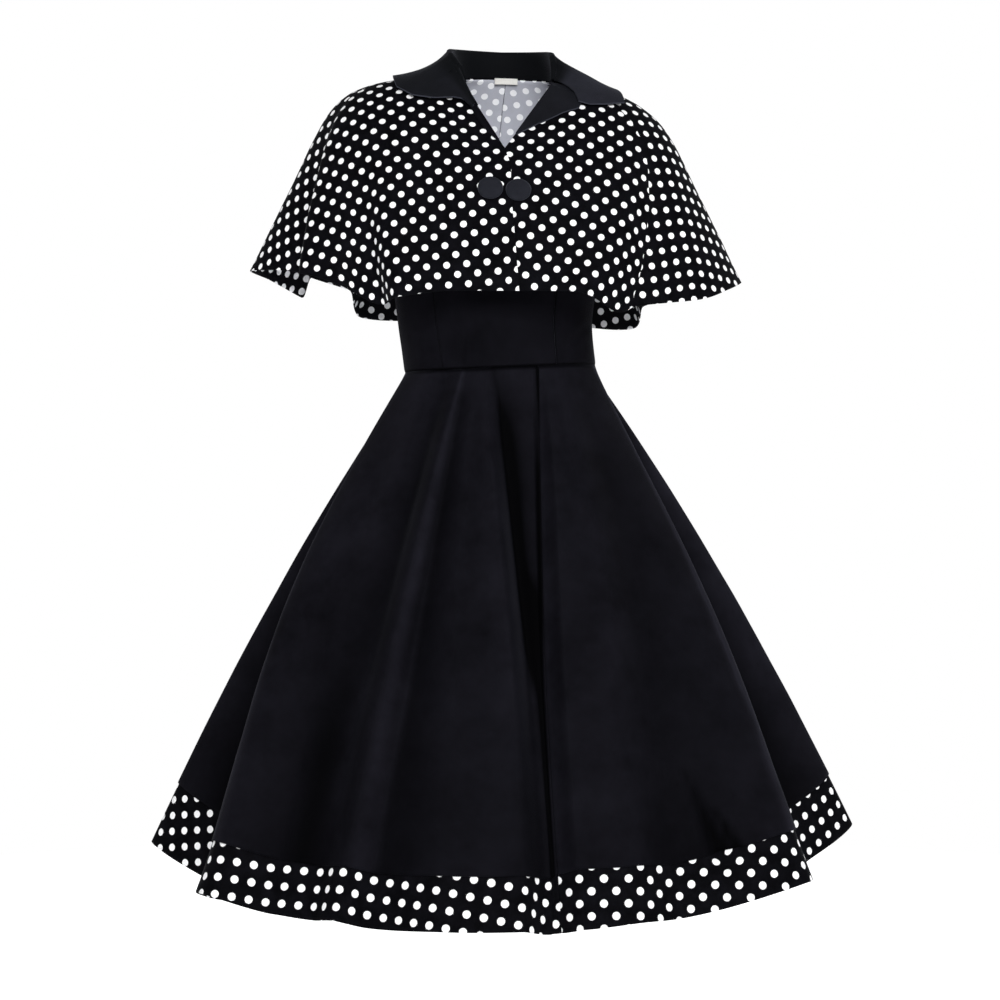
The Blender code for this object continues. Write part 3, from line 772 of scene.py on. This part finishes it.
# Painted shade along each princess seam: its angle, how wide it is in degrees, and its strength.
SEAM_SHADE = ((PRINCESS_SEAM, 0.9, 0.8), (-PRINCESS_SEAM, 0.4, 0.5))
CUP_ANGLE = 38
CUP_SPREAD = 30
BODICE_CREASES = crease_table(
    ((0.116, -0.312), (0.078, -0.35), 0.005, 0.0022),
    ((-0.045, -0.335), (-0.047, -0.366), 0.004, 0.0012),
    ((-0.112, -0.33), (-0.08, -0.346), 0.006, 0.0014),
    ((0.106, -0.345), (0.084, -0.357), 0.004, 0.0012),
)


def curve(stops, values, at, slope):
    """A smooth curve through values at rising stops, where it has the slopes of slope(k)."""
    last = len(stops) - 1
    k = next((i for i in range(last) if at <= stops[i + 1]), last - 1)
    span = stops[k + 1] - stops[k]
    t = (at - stops[k]) / span
    return (
        values[k] * (2 * t**3 - 3 * t**2 + 1)
        + slope(k) * span * (t**3 - 2 * t**2 + t)
        + values[k + 1] * (3 * t**2 - 2 * t**3)
        + slope(k + 1) * span * (t**3 - t**2)
    )


def curve_through(stops, values, at):
    """A smooth curve that leans from each value's neighbour before to the one after."""

    def slope(k):
        low, high = max(k - 1, 0), min(k + 1, len(stops) - 1)
        return (values[high] - values[low]) / (stops[high] - stops[low])

    return curve(stops, values, at, slope)


def column_of(rows, name):
    return [getattr(row, name) for row in rows]


def bodice_point(angle, level):
    """Outside of the bodice. Level runs from the waist seam up to the top edge."""
    stops = column_of(BODICE_RINGS, "at")

    def at(name):
        return curve_through(stops, column_of(BODICE_RINGS, name), level)

    distance = oval(angle, at("across"), at("front"), at("back"))
    distance += at("cup") * bell((abs(angle) - CUP_ANGLE) / CUP_SPREAD)
    point = outward(angle, distance)
    height = waist_height(point) - WAIST_TILT * point.x + at("tilt") * point.x + at("rise")
    return Vector((point.x + at("shift"), point.y, height))


def worn_bodice_point(angle, level):
    return rumpled(creased(bodice_point(angle, level), BODICE_CREASES), size=0.0005, often=30)


def bodice_painted_shade(angle, level):
    """An even tone, with painted shade in the waist seam and along the princess seams."""
    pale = BODICE_PALE if level else 0.0
    for seam, wide, strength in SEAM_SHADE:
        pale *= 1 - strength * bell((angle - seam) / wide)
    return pale


for panel in table(
    "name start end sewn cut",
    ("bodice_front", -PRINCESS_SEAM, PRINCESS_SEAM, "end waist", (0.19, 0.24)),
    ("bodice_side_left", PRINCESS_SEAM, BODICE_SIDE_SEAM, "start end waist", (0.12, 0.24)),
    ("bodice_side_right", -BODICE_SIDE_SEAM, -PRINCESS_SEAM, "start waist", (0.12, 0.24)),
    ("bodice_back_left", BODICE_SIDE_SEAM, 180, "start end waist", (0.2, 0.24)),
    ("bodice_back_right", -180, -BODICE_SIDE_SEAM, "start end waist", (0.2, 0.24)),
):
    bodice = cloth_sheet(
        f"{panel.name}_cloth",
        worn_bodice_point,
        [mix(panel.start, panel.end, share) for share in shares(panel.end - panel.start)],
        shares(BODICE_ROWS),
        sewn=panel.sewn,
        hem_last=False,
        mark=("tone_and_painted_light", bodice_painted_shade),
    )
    made_up(bodice, [black_cloth], panel.name)


# Capelet. Spotted cotton cut as a ring, in two fronts and two backs, sewn to the collar at the
# neck. It lies over the shoulders, swells over the arms and meets edge to edge down the front.
CAPE_RINGS = table(
    "at side side_z front front_z back back_z lean",
    (0, 0.063, 0.006, 0.11, -0.1, 0.066, 0.02, 0.03),
    (0.15, 0.122, 0.001, 0.124, -0.126, 0.094, -0.021, 0.05),
    (0.32, 0.184, -0.019, 0.137, -0.156, 0.121, -0.071, 0.054),
    (0.45, 0.2206, -0.054, 0.147, -0.179, 0.133, -0.113, 0.05),
    (0.7, 0.2646, -0.142, 0.158, -0.226, 0.149, -0.196, 0.035),
    (1, 0.3155, -0.248, 0.165, -0.282, 0.165, -0.303, 0.027),
)
CAPE_GROWTH = 1.4
CAPE_SHIFT = -0.004
NECK_SHIFT = 0.008
NECK_SHIFT_FADE = 3
NECK_FRONT = 0.05
NECK_BREAK = 63
NECK_BREAK_AT = Vector((0.058, -0.028, -0.004))
NECK_POINT_AT = Vector((-0.002, -0.11, -0.1))
CAPE_OPENING = 5
SHOULDER_SEAM = 89
CAPE_ROWS = 72
CAPE_STITCH = 0.006
CAPE_TURNED_UP = 0.048
SPOT_STEP_CAPE = 0.0176
SPOT_RADIUS_CAPE = 0.0042

# A row for each crest and trough of the capelet: its angle at the neck and at the hem, how far it
# stands out and how far it drops at the hem, the fraction of the way down where it starts, and the
# coarse columns from it to the next row. The front edges and the shoulder seams are rows too.
CAPE_FOLDS = table(
    "neck hem relief drop start columns",
    (-180, -180, 0, 0, 0.2, 3),
    (-166, -162, -0.006, 0, 0.2, 2),
    (-152, -145, 0.008, 0.009, 0.4, 2),
    (-143, -136, -0.028, -0.016, 0.4, 3),
    (-128, -122, -0.024, -0.015, 0.5, 2),
    (-118, -116, -0.028, 0.018, 0.5, 3),
    (-107, -105, 0, 0.002, 0.4, 3),
    (-89, -89, 0.004, 0.002, 0.4, 4),
    (-86, -61, -0.04, 0, 0.3, 3),
    (-83, -48, 0.008, 0, 0.3, 3),
    (-70, -38, 0.004, 0.007, 0.3, 3),
    (-63, -30, -0.026, 0.026, 0.35, 3),
    (-50, -21, 0.012, 0.015, 0.35, 4),
    (-24, -10, 0.002, 0.003, 0.4, 4),
    (-1, 1, -0.006, 0, 0.5, 2),
    (5, 5, 0, 0, 0.5, 2),
    (16, 10, -0.002, 0, 0.5, 9),
    (72, 17, 0.012, 0.002, 0.35, 4),
    (77, 31, -0.016, 0.029, 0.35, 2),
    (80, 37, -0.026, 0.022, 0.35, 4),
    (85, 51, 0.008, 0.02, 0.35, 3),
    (87, 68, 0.002, 0.01, 0.4, 3),
    (89, 89, 0, 0, 0.4, 3),
    (112, 112, -0.016, 0.002, 0.4, 2),
    (126, 124, -0.042, 0, 0.4, 3),
    (138, 136, -0.032, -0.004, 0.4, 2),
    (149, 145, 0.008, 0.014, 0.4, 2),
    (165, 163, -0.004, 0, 0.2, 3),
    (180, 180, 0, 0, 0.2, 0),
)
CAPE_CREASES = crease_table(
    ((0.0915, -0.228), (0.0945, -0.285), 0.004, 0.0035),
    ((-0.097, -0.19), (-0.087, -0.207), 0.005, 0.0022),
    ((0.013, -0.185), (0.018, -0.28), 0.009, 0.003),
    ((0.004, -0.112), (0.005, -0.122), 0.005, 0.002),
)


def through_crests(stops, values, at):
    """A smooth curve that turns level at each crest and trough, and stays level past the ends."""

    def rise(k):
        return (values[k + 1] - values[k]) / (stops[k + 1] - stops[k])

    def slope(k):
        if k in (0, len(stops) - 1) or rise(k - 1) * rise(k) <= 0:
            return 0.0
        return 2 * rise(k - 1) * rise(k) / (rise(k - 1) + rise(k))

    return curve(stops, values, min(max(at, stops[0]), stops[-1]), slope)


def neck_point(angle):
    """The capelet's neck seam: an oval behind, and a straight V in front."""
    turn = abs(angle)
    if turn <= NECK_BREAK:
        side = math.copysign(1, angle - CAPE_OPENING)
        edge = Vector((side * NECK_BREAK_AT.x, NECK_BREAK_AT.y, NECK_BREAK_AT.z))
        along = (angle - CAPE_OPENING) / (side * NECK_BREAK - CAPE_OPENING)
        return NECK_POINT_AT.lerp(edge, along)
    ring = CAPE_RINGS[0]
    beyond = (turn - NECK_BREAK) / (180 - NECK_BREAK)
    point = outward(angle, oval(angle, ring.side, NECK_FRONT, ring.back))
    point.z = mix(NECK_BREAK_AT.z, ring.back_z, math.sin(beyond * math.pi / 2))
    return point


def cape_point(angle, level, deeper=1.0):
    """Outside of the capelet at a true angle. Level runs from the neck seam to the hem."""
    turn = math.radians(angle)
    sine, cosine = math.sin(turn), math.cos(turn)
    points = [neck_point(angle)]
    for ring in CAPE_RINGS[1:]:
        deep, end_z = (ring.front, ring.front_z) if cosine > 0 else (ring.back, ring.back_z)
        height = mix(ring.side_z, end_z, cosine**2)
        points.append(Vector((ring.side * sine, -deep * cosine, height)))
    stops = column_of(CAPE_RINGS, "at")
    point = curve_through(stops, points, level)
    turned = [mix(fold.neck, fold.hem, level) for fold in CAPE_FOLDS]
    start = through_crests(turned, column_of(CAPE_FOLDS, "start"), angle)
    grown = max((level - start) / (1 - start), 0) ** CAPE_GROWTH
    relief = through_crests(turned, column_of(CAPE_FOLDS, "relief"), angle)
    point += outward(angle, relief * grown * deeper)
    point.z -= through_crests(turned, column_of(CAPE_FOLDS, "drop"), angle) * grown
    point.z -= curve_through(stops, column_of(CAPE_RINGS, "lean"), level) * point.x
    point.x += mix(NECK_SHIFT, CAPE_SHIFT, min(max(level, 0) * NECK_SHIFT_FADE, 1))
    return point


def along_folds(angle, level, deeper=1.0):
    """The capelet along its folds, where the angle is the one at the hem."""
    before, after, share = neighbours(CAPE_FOLDS, "hem", angle)
    return cape_point(mix(mix(before.neck, after.neck, share), angle, level), level, deeper)


def worn_cape_point(angle, level):
    point = creased(along_folds(angle, level), CAPE_CREASES)
    return rumpled(point, size=0.0008 * smooth(level * 3), often=22)


def fuller_cape(fullness):
    """The capelet with deeper folds, as full as its flat cut is."""
    return lambda angle, level: along_folds(angle, level, fullness)


def unfold(piece, turn, tuck_at, tuck_turn):
    """Lays the sheet flat in its "cloth" map, in metres, hem down, then turned in degrees.

    Beyond the angle tuck_at, cloth is hidden in a fold, so the flat cut goes on turned further.
    """
    mesh = piece.data
    mesh.uv_layers.active = mesh.uv_layers["cloth"]
    bpy.ops.object.select_all(action="DESELECT")
    bpy.context.view_layer.objects.active = piece
    piece.select_set(True)
    bpy.ops.object.mode_set(mode="EDIT")
    bpy.ops.mesh.select_all(action="SELECT")
    bpy.ops.uv.unwrap(method="MINIMUM_STRETCH", iterations=40, margin=0.0)
    bpy.ops.object.mode_set(mode="OBJECT")
    flat, edge = mesh.uv_layers["cloth"].data, mesh.uv_layers["edge"].data
    worn_length, flat_length = 0.0, 0.0
    pull = Vector((0.0, 0.0))
    for face in mesh.polygons:
        for k, loop in enumerate(face.loop_indices):
            other = face.loop_indices[k - 1]
            ends = [mesh.vertices[mesh.loops[end].vertex_index].co for end in (loop, other)]
            worn_length += (ends[0] - ends[1]).length
            step = flat[loop].uv - flat[other].uv
            flat_length += step.length
            pull += step * (edge[loop].uv.y - edge[other].uv.y)
    scale = worn_length / flat_length
    upright = math.pi / 2 - math.atan2(pull.y, pull.x) + math.radians(turn)
    angles = mesh.attributes["hem angle"].data
    for face in mesh.polygons:
        middle = sum(angles[k].value for k in face.vertices) / len(face.vertices)
        spin = upright + (math.radians(tuck_turn) if abs(middle) > abs(tuck_at) else 0)
        for k in face.loop_indices:
            flat[k].uv = Matrix.Rotation(spin, 2) @ flat[k].uv * scale


cape_cloth = spotted(
    "spotted cotton of the capelet", SPOT_STEP_CAPE, SPOT_RADIUS_CAPE, CAPE_STITCH, CAPE_TURNED_UP
)
for panel in table(
    "side start end sewn turn fullness tuck_at tuck_turn cut_area",
    ("front_right", -SHOULDER_SEAM, CAPE_OPENING, "start", 11, 1.7, -61, -16, 0.1),
    ("front_left", CAPE_OPENING, SHOULDER_SEAM, "end", -22, 1.4, 34, 21, 0.09),
    ("back_right", -180, -SHOULDER_SEAM, "start end", 7, 2.2, -180, 0, 0.103),
    ("back_left", SHOULDER_SEAM, 180, "start end", -14, 2.2, 180, 0, 0.1),
):
    grid = fold_columns(CAPE_FOLDS, panel.start, panel.end), shares(CAPE_ROWS)
    capelet = cloth_sheet(f"capelet_{panel.side}", worn_cape_point, *grid, sewn=panel.sewn)
    hem_angle = ("hem angle", lambda angle, level: angle)
    cut = cloth_sheet("cut", fuller_cape(panel.fullness), *grid, mark=hem_angle)
    unfold(cut, panel.turn, panel.tuck_at, panel.tuck_turn)
    for here, there in zip(capelet.data.uv_layers["cloth"].data, cut.data.uv_layers["cloth"].data):
        here.uv = there.uv
    bpy.data.objects.remove(cut)
    made_up(capelet, cape_cloth, f"cape_{panel.side}")
    "strap_left" if "left" in panel.side else "strap_right"


# Shoulder straps. Narrow strips of the black cloth that hold the bodice up. They run under the
# capelet, close below its wrong side, from the top edge in front to the top edge behind.
STRAP_INSIDE = 0.086
STRAP_OUTSIDE = 0.111
STRAP_FRONT = 34
STRAP_BACK = 146
STRAP_STEPS = 60
STRAP_ROWS = 6
STRAP_FOOT_FRONT = STRAP_FRONT + 10
STRAP_FOOT_BACK = STRAP_BACK - 8
STRAP_FOOT_WIDE = 16
STRAP_CLEAR = 0.0014
HALVINGS = 30


def level_where(angle, passed):
    """The capelet's level where its point passes a place, found by halving."""
    low, high = 0.0, 1.0
    for _ in range(HALVINGS):
        middle = (low + high) / 2
        if passed(cape_point(angle, middle)):
            high = middle
        else:
            low = middle
    return (low + high) / 2


def strap_surface(side):
    under_cape = lifted(cape_point, -WALL - STRAP_CLEAR)

    def surface(along, across):
        angle = side * mix(STRAP_FRONT, STRAP_BACK, along)
        width = mix(STRAP_INSIDE, STRAP_OUTSIDE, across)
        under = under_cape(angle, level_where(angle, lambda point: abs(point.x) >= width))
        foot_angle, spread = STRAP_FOOT_BACK, -STRAP_FOOT_WIDE
        if along < 0.5:
            foot_angle, spread = STRAP_FOOT_FRONT, STRAP_FOOT_WIDE
        foot = bodice_point(side * (foot_angle + (across - 0.5) * spread), 1.0)
        foot.z += SEAM_GAP
        return under.lerp(foot, smooth(abs(along - 0.5) * 2) ** 2)

    return surface


for side, sign in (("left", 1), ("right", -1)):
    strap = cloth_sheet(
        f"strap_cloth_{side}",
        strap_surface(sign),
        shares(STRAP_STEPS),
        shares(STRAP_ROWS),
        mark=("tone_and_painted_light", lambda along, across: BODICE_PALE),
    )
    made_up(strap, [black_cloth], f"strap_{side}")


# Collar. Plain blue-black cotton, two layers turned and pressed. It stands up from the neck seam,
# rolls over and falls to points at the front edges, lower on the wearer's left.
COLLAR_SECTIONS = table(
    "neck stand edge_angle edge_at",
    (-38, 0.001, -38, 0.014),
    (-46, 0.003, -45, 0.026),
    (-54, 0.008, -50.5, 0.062),
    (-63, 0.018, -54, 0.122),
    (-71, 0.026, -59, 0.176),
    (-79, 0.031, -67, 0.205),
    (-96, 0.035, -93, 0.19),
    (-118, 0.034, -119, 0.145),
    (-146, 0.033, -147, 0.12),
    (-180, 0.032, -180, 0.11),
    (-214, 0.033, -213, 0.12),
    (-242, 0.034, -242, 0.135),
    (-260, 0.034, -266, 0.19),
    (-268, 0.031, -290.5, 0.276),
    (-275, 0.024, -297, 0.225),
    (-282, 0.013, -301.5, 0.173),
    (-289, 0.003, -303, 0.13),
)
COLLAR_WALL = 0.0015
COLLAR_ROLL = 0.0015
COLLAR_END_ROLL = 0.001
COLLAR_LIFT = 0.0034
COLLAR_LEAN = 0.002
COLLAR_SWAY = -0.007
COLLAR_FULL_STAND = 0.035
COLLAR_DROOP = 2.8
COLLAR_UNDER_ROLL = 0.045
COLLAR_COLUMNS = 10
COLLAR_ROWS = 44
COLLAR_MIDDLE_BACK = 9
# Painted shade inside the stand and at the roll, and painted light on the fall, paler on the
# wearer's left.
COLLAR_LIGHT_TURN = 4
ROLL_SHADE_BELOW = 0.04
ROLL_SHADE_FADE = 16
STAND_PALE = 0.04
FALL_PALE_RIGHT = 0.24
FALL_PALE_LEFT = 0.76
STAND_SHARE = 0.35
ROLL_SHARE = 0.6
COLLAR_DEEP = (0.002, 0.0024, 0.003)
COLLAR_PALE = (0.02, 0.0208, 0.029)
COLLAR_EDGE_HIGHLIGHT = (0.03, 0.032, 0.042)
COLLAR_RIM = 0.0011
PRESSED_CORNER = 50


def edged_finish(weave):
    """The collar's cloth: painted light and shade, and a painted highlight along its pressed
    outer edge.
    """
    plain = shade_painted_finish(COLLAR_DEEP, COLLAR_PALE)(weave)
    return weave.above.from_to(COLLAR_RIM, COLLAR_RIM * 0.5).blend(plain, opaque(COLLAR_EDGE_HIGHLIGHT))


collar_cloth = woven("blue-black cotton", edged_finish, sheen=(0.05, 0.35, (0.78, 0.82, 1.0)))


def section_at(sections, position):
    """The row between two sections, where position counts sections from 0."""
    k = min(int(position), len(sections) - 2)
    return mixed(sections[k], sections[k + 1], position - k)


def wrapped(angle):
    return (angle + 180) % 360 - 180


over_cape = lifted(cape_point, COLLAR_LIFT)


def collar_surface(position, share):
    """Outside of the collar, from the seam up the stand, over the roll and down to its edge."""
    section = section_at(COLLAR_SECTIONS, position)
    neck_angle = wrapped(section.neck)
    seam = cape_point(neck_angle, 0.0) + Vector((0, 0, SEAM_GAP * 2))
    out = outward(neck_angle, 1)
    sway = COLLAR_SWAY * min(section.stand / COLLAR_FULL_STAND, 1)
    top = seam + out * COLLAR_LEAN + Vector((sway, 0, section.stand))
    roll = mix(COLLAR_END_ROLL, COLLAR_ROLL, smooth(section.stand / COLLAR_FULL_STAND))
    centre = top + out * roll
    radius = roll + COLLAR_WALL
    if share <= STAND_SHARE:
        return seam.lerp(top, share / STAND_SHARE) - out * COLLAR_WALL
    if share <= ROLL_SHARE:
        turn = math.pi * (share - STAND_SHARE) / (ROLL_SHARE - STAND_SHARE)
        return centre - out * radius * math.cos(turn) + Vector((0, 0, radius * math.sin(turn)))
    down = (share - ROLL_SHARE) / (1 - ROLL_SHARE)
    angle = mix(section.neck, section.edge_angle, down)
    under = over_cape(wrapped(angle), mix(COLLAR_UNDER_ROLL, section.edge_at, down))
    stand_off = centre + out * roll - over_cape(neck_angle, COLLAR_UNDER_ROLL)
    slope = outward_normal(cape_point, neck_angle, COLLAR_UNDER_ROLL)
    return under + stand_off * (1 - down) ** COLLAR_DROOP + slope * COLLAR_WALL


def pressed_edge(piece, wide):
    """Rounds the edges of a thick piece, as a turned and pressed edge is."""
    edge = piece.modifiers.new("pressed edge", "BEVEL")
    edge.width = wide
    edge.segments = 2
    edge.limit_method = "ANGLE"
    edge.angle_limit = math.radians(PRESSED_CORNER)


def collar_painted_light(position, share):
    """Painted shade: the stand inside is deep blue-black. Painted light: the fall is paler on the
    wearer's left.
    """
    fall = smooth((share - ROLL_SHARE - ROLL_SHADE_BELOW) * ROLL_SHADE_FADE)
    left = smooth((position - COLLAR_MIDDLE_BACK) / COLLAR_LIGHT_TURN)
    return mix(STAND_PALE, mix(FALL_PALE_RIGHT, FALL_PALE_LEFT, left), fall)


collar = cloth_sheet(
    "turned_down_collar",
    collar_surface,
    shares(COLLAR_COLUMNS, len(COLLAR_SECTIONS) - 1),
    shares(COLLAR_ROWS),
    mark=("tone_and_painted_light", collar_painted_light),
)
made_up(collar, [collar_cloth], "collar", thick=COLLAR_WALL)
pressed_edge(collar, 0.0005)


# Lapel facings, turned out over the neck edge: a broad lapel of the blue-black cotton on the
# wearer's left, and a narrow strip of the black cloth on the right, where the edge lies closed;
# the black cloth there is darker as painted shade of the fold.
FACING_LIFT = 0.0008
LAPELS = {
    "right": table(
        "angle edge_angle edge_at",
        (-3, -3, 0.016),
        (-14, -14, 0.026),
        (-25, -25, 0.028),
        (-36, -35, 0.024),
        (-41, -41, 0.022),
    ),
    "left": table(
        "angle edge_angle edge_at",
        (18, 18, 0.012),
        (36, 34, 0.052),
        (54, 48, 0.1),
        (70, 55, 0.14),
        (75, 64, 0.13),
    ),
}
# The black cloth on the right is painted shade where the facing lies in the fold.
LAPEL_CLOTHS = {"right": black_cloth, "left": collar_cloth}
LAPEL_PALE = 0.34
LAPEL_STEPS = 16
LAPEL_ROWS = 20

on_cape = lifted(cape_point, FACING_LIFT + WALL)


def lapel_surface(sections):
    def surface(position, share):
        section = section_at(sections, position)
        angle = mix(section.angle, section.edge_angle, share)
        return on_cape(angle, section.edge_at * share)

    return surface


for side, sections in LAPELS.items():
    lapel = cloth_sheet(
        f"lapel_facing_{side}",
        lapel_surface(sections),
        shares(LAPEL_STEPS, len(sections) - 1),
        shares(LAPEL_ROWS),
        mark=("tone_and_painted_light", lambda position, share: LAPEL_PALE),
    )
    made_up(lapel, [LAPEL_CLOTHS[side]], f"lapel_{side}")
    pressed_edge(lapel, 0.0004)


# Neck label. A blank strip of white woven tape with folded ends. Its upper edge is caught in the
# back neck seam, and it hangs inside the neck.
LABEL_ANGLES = (166, 194)
LABEL_DEEP = 0.008
LABEL_RISE = 0.001
LABEL_THICK = 0.001
LABEL_CLEAR = 0.0026
LABEL_COLUMNS = 24
LABEL_ROWS = 8
TAPE_SHADE = (0.7, 0.69, 0.66)
TAPE_WHITE = (0.8, 0.79, 0.76)

label_tape = woven(
    "white woven tape",
    dyed_finish(TAPE_SHADE, TAPE_WHITE),
    sheen=(0.0, 0.3, (1.0, 1.0, 1.0)),
    bump=0.5,
)


def label_point(angle, down):
    seam = cape_point(wrapped(angle), 0.0)
    return seam - outward(angle, LABEL_CLEAR, LABEL_DEEP * down - LABEL_RISE)


label = cloth_sheet(
    "blank_label",
    label_point,
    [mix(*LABEL_ANGLES, share) for share in shares(LABEL_COLUMNS)],
    shares(LABEL_ROWS),
)
made_up(label, [label_tape], "neck_label", thick=LABEL_THICK)


# Buttons. Two domed metal shells covered with the blue-black cotton, each sewn by its shank to one
# front, so they lie side by side over the meeting edges.
BUTTON_RADIUS = 0.0157
BUTTON_THICK = 0.0062
BUTTON_SIDES = 64
PLACING_STEPS = 40
DEGREES_PER_METRE = 200
BUTTON_DEEP = (0.009, 0.0098, 0.0135)
BUTTON_PALE = (0.014, 0.015, 0.02)
BUTTONS = {"right": (-0.0118, -0.1551), "left": (0.0226, -0.1577)}
# The section of a button from the middle of its top to the middle of its back: how far out and
# how far up each place is.
BUTTON_OUT = (0.0, 0.25, 0.5, 0.72, 0.88, 0.96, 1.0, 0.99, 0.94, 0.85, 0.0)
BUTTON_UP = (1.0, 0.99, 0.95, 0.87, 0.73, 0.56, 0.36, 0.18, 0.05, 0.0, 0.0)


def on_cape_front(across, height):
    """Angle and level of the capelet's front at this place across and this height."""
    angle = 0.0
    for _ in range(PLACING_STEPS):
        level = level_where(angle, lambda point: point.z <= height)
        angle += (across - cape_point(angle, level).x) * DEGREES_PER_METRE
    return angle, level


button_cloth = woven(
    "blue-black cotton over the buttons",
    dyed_finish(BUTTON_DEEP, BUTTON_PALE),
    sheen=(0.15, 0.35, (0.78, 0.82, 1.0)),
)
for side, (across, height) in BUTTONS.items():
    angle, level = on_cape_front(across, height)
    normal = outward_normal(cape_point, angle, level)
    shape = bmesh.new()
    rim = [
        shape.verts.new((BUTTON_RADIUS * out, 0, BUTTON_THICK * (up - 0.5)))
        for out, up in zip(BUTTON_OUT, BUTTON_UP)
    ]
    spokes = [shape.edges.new(pair) for pair in zip(rim, rim[1:])]
    bmesh.ops.spin(
        shape,
        geom=rim + spokes,
        axis=(0, 0, 1),
        angle=math.tau,
        steps=BUTTON_SIDES,
        use_merge=True,
    )
    bmesh.ops.remove_doubles(shape, verts=shape.verts, dist=1e-6)
    bmesh.ops.recalc_face_normals(shape, faces=shape.faces)
    cloth_map = shape.loops.layers.uv.new("cloth")
    for face in shape.faces:
        for loop in face.loops:
            loop[cloth_map].uv = loop.vert.co.xy
    turn = normal.to_track_quat("Z", "Y").to_matrix().to_4x4()
    bmesh.ops.transform(shape, matrix=turn, verts=shape.verts)
    seat = cape_point(angle, level) + normal * (BUTTON_THICK / 2 + SEAM_GAP * 4)
    bmesh.ops.translate(shape, vec=seat, verts=shape.verts)
    button = drawn(f"covered_button_{side}", shape)
    button.data.shade_smooth()
    button.data.materials.append(button_cloth)
    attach(button, "root")
    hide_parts(f"button_{side}")
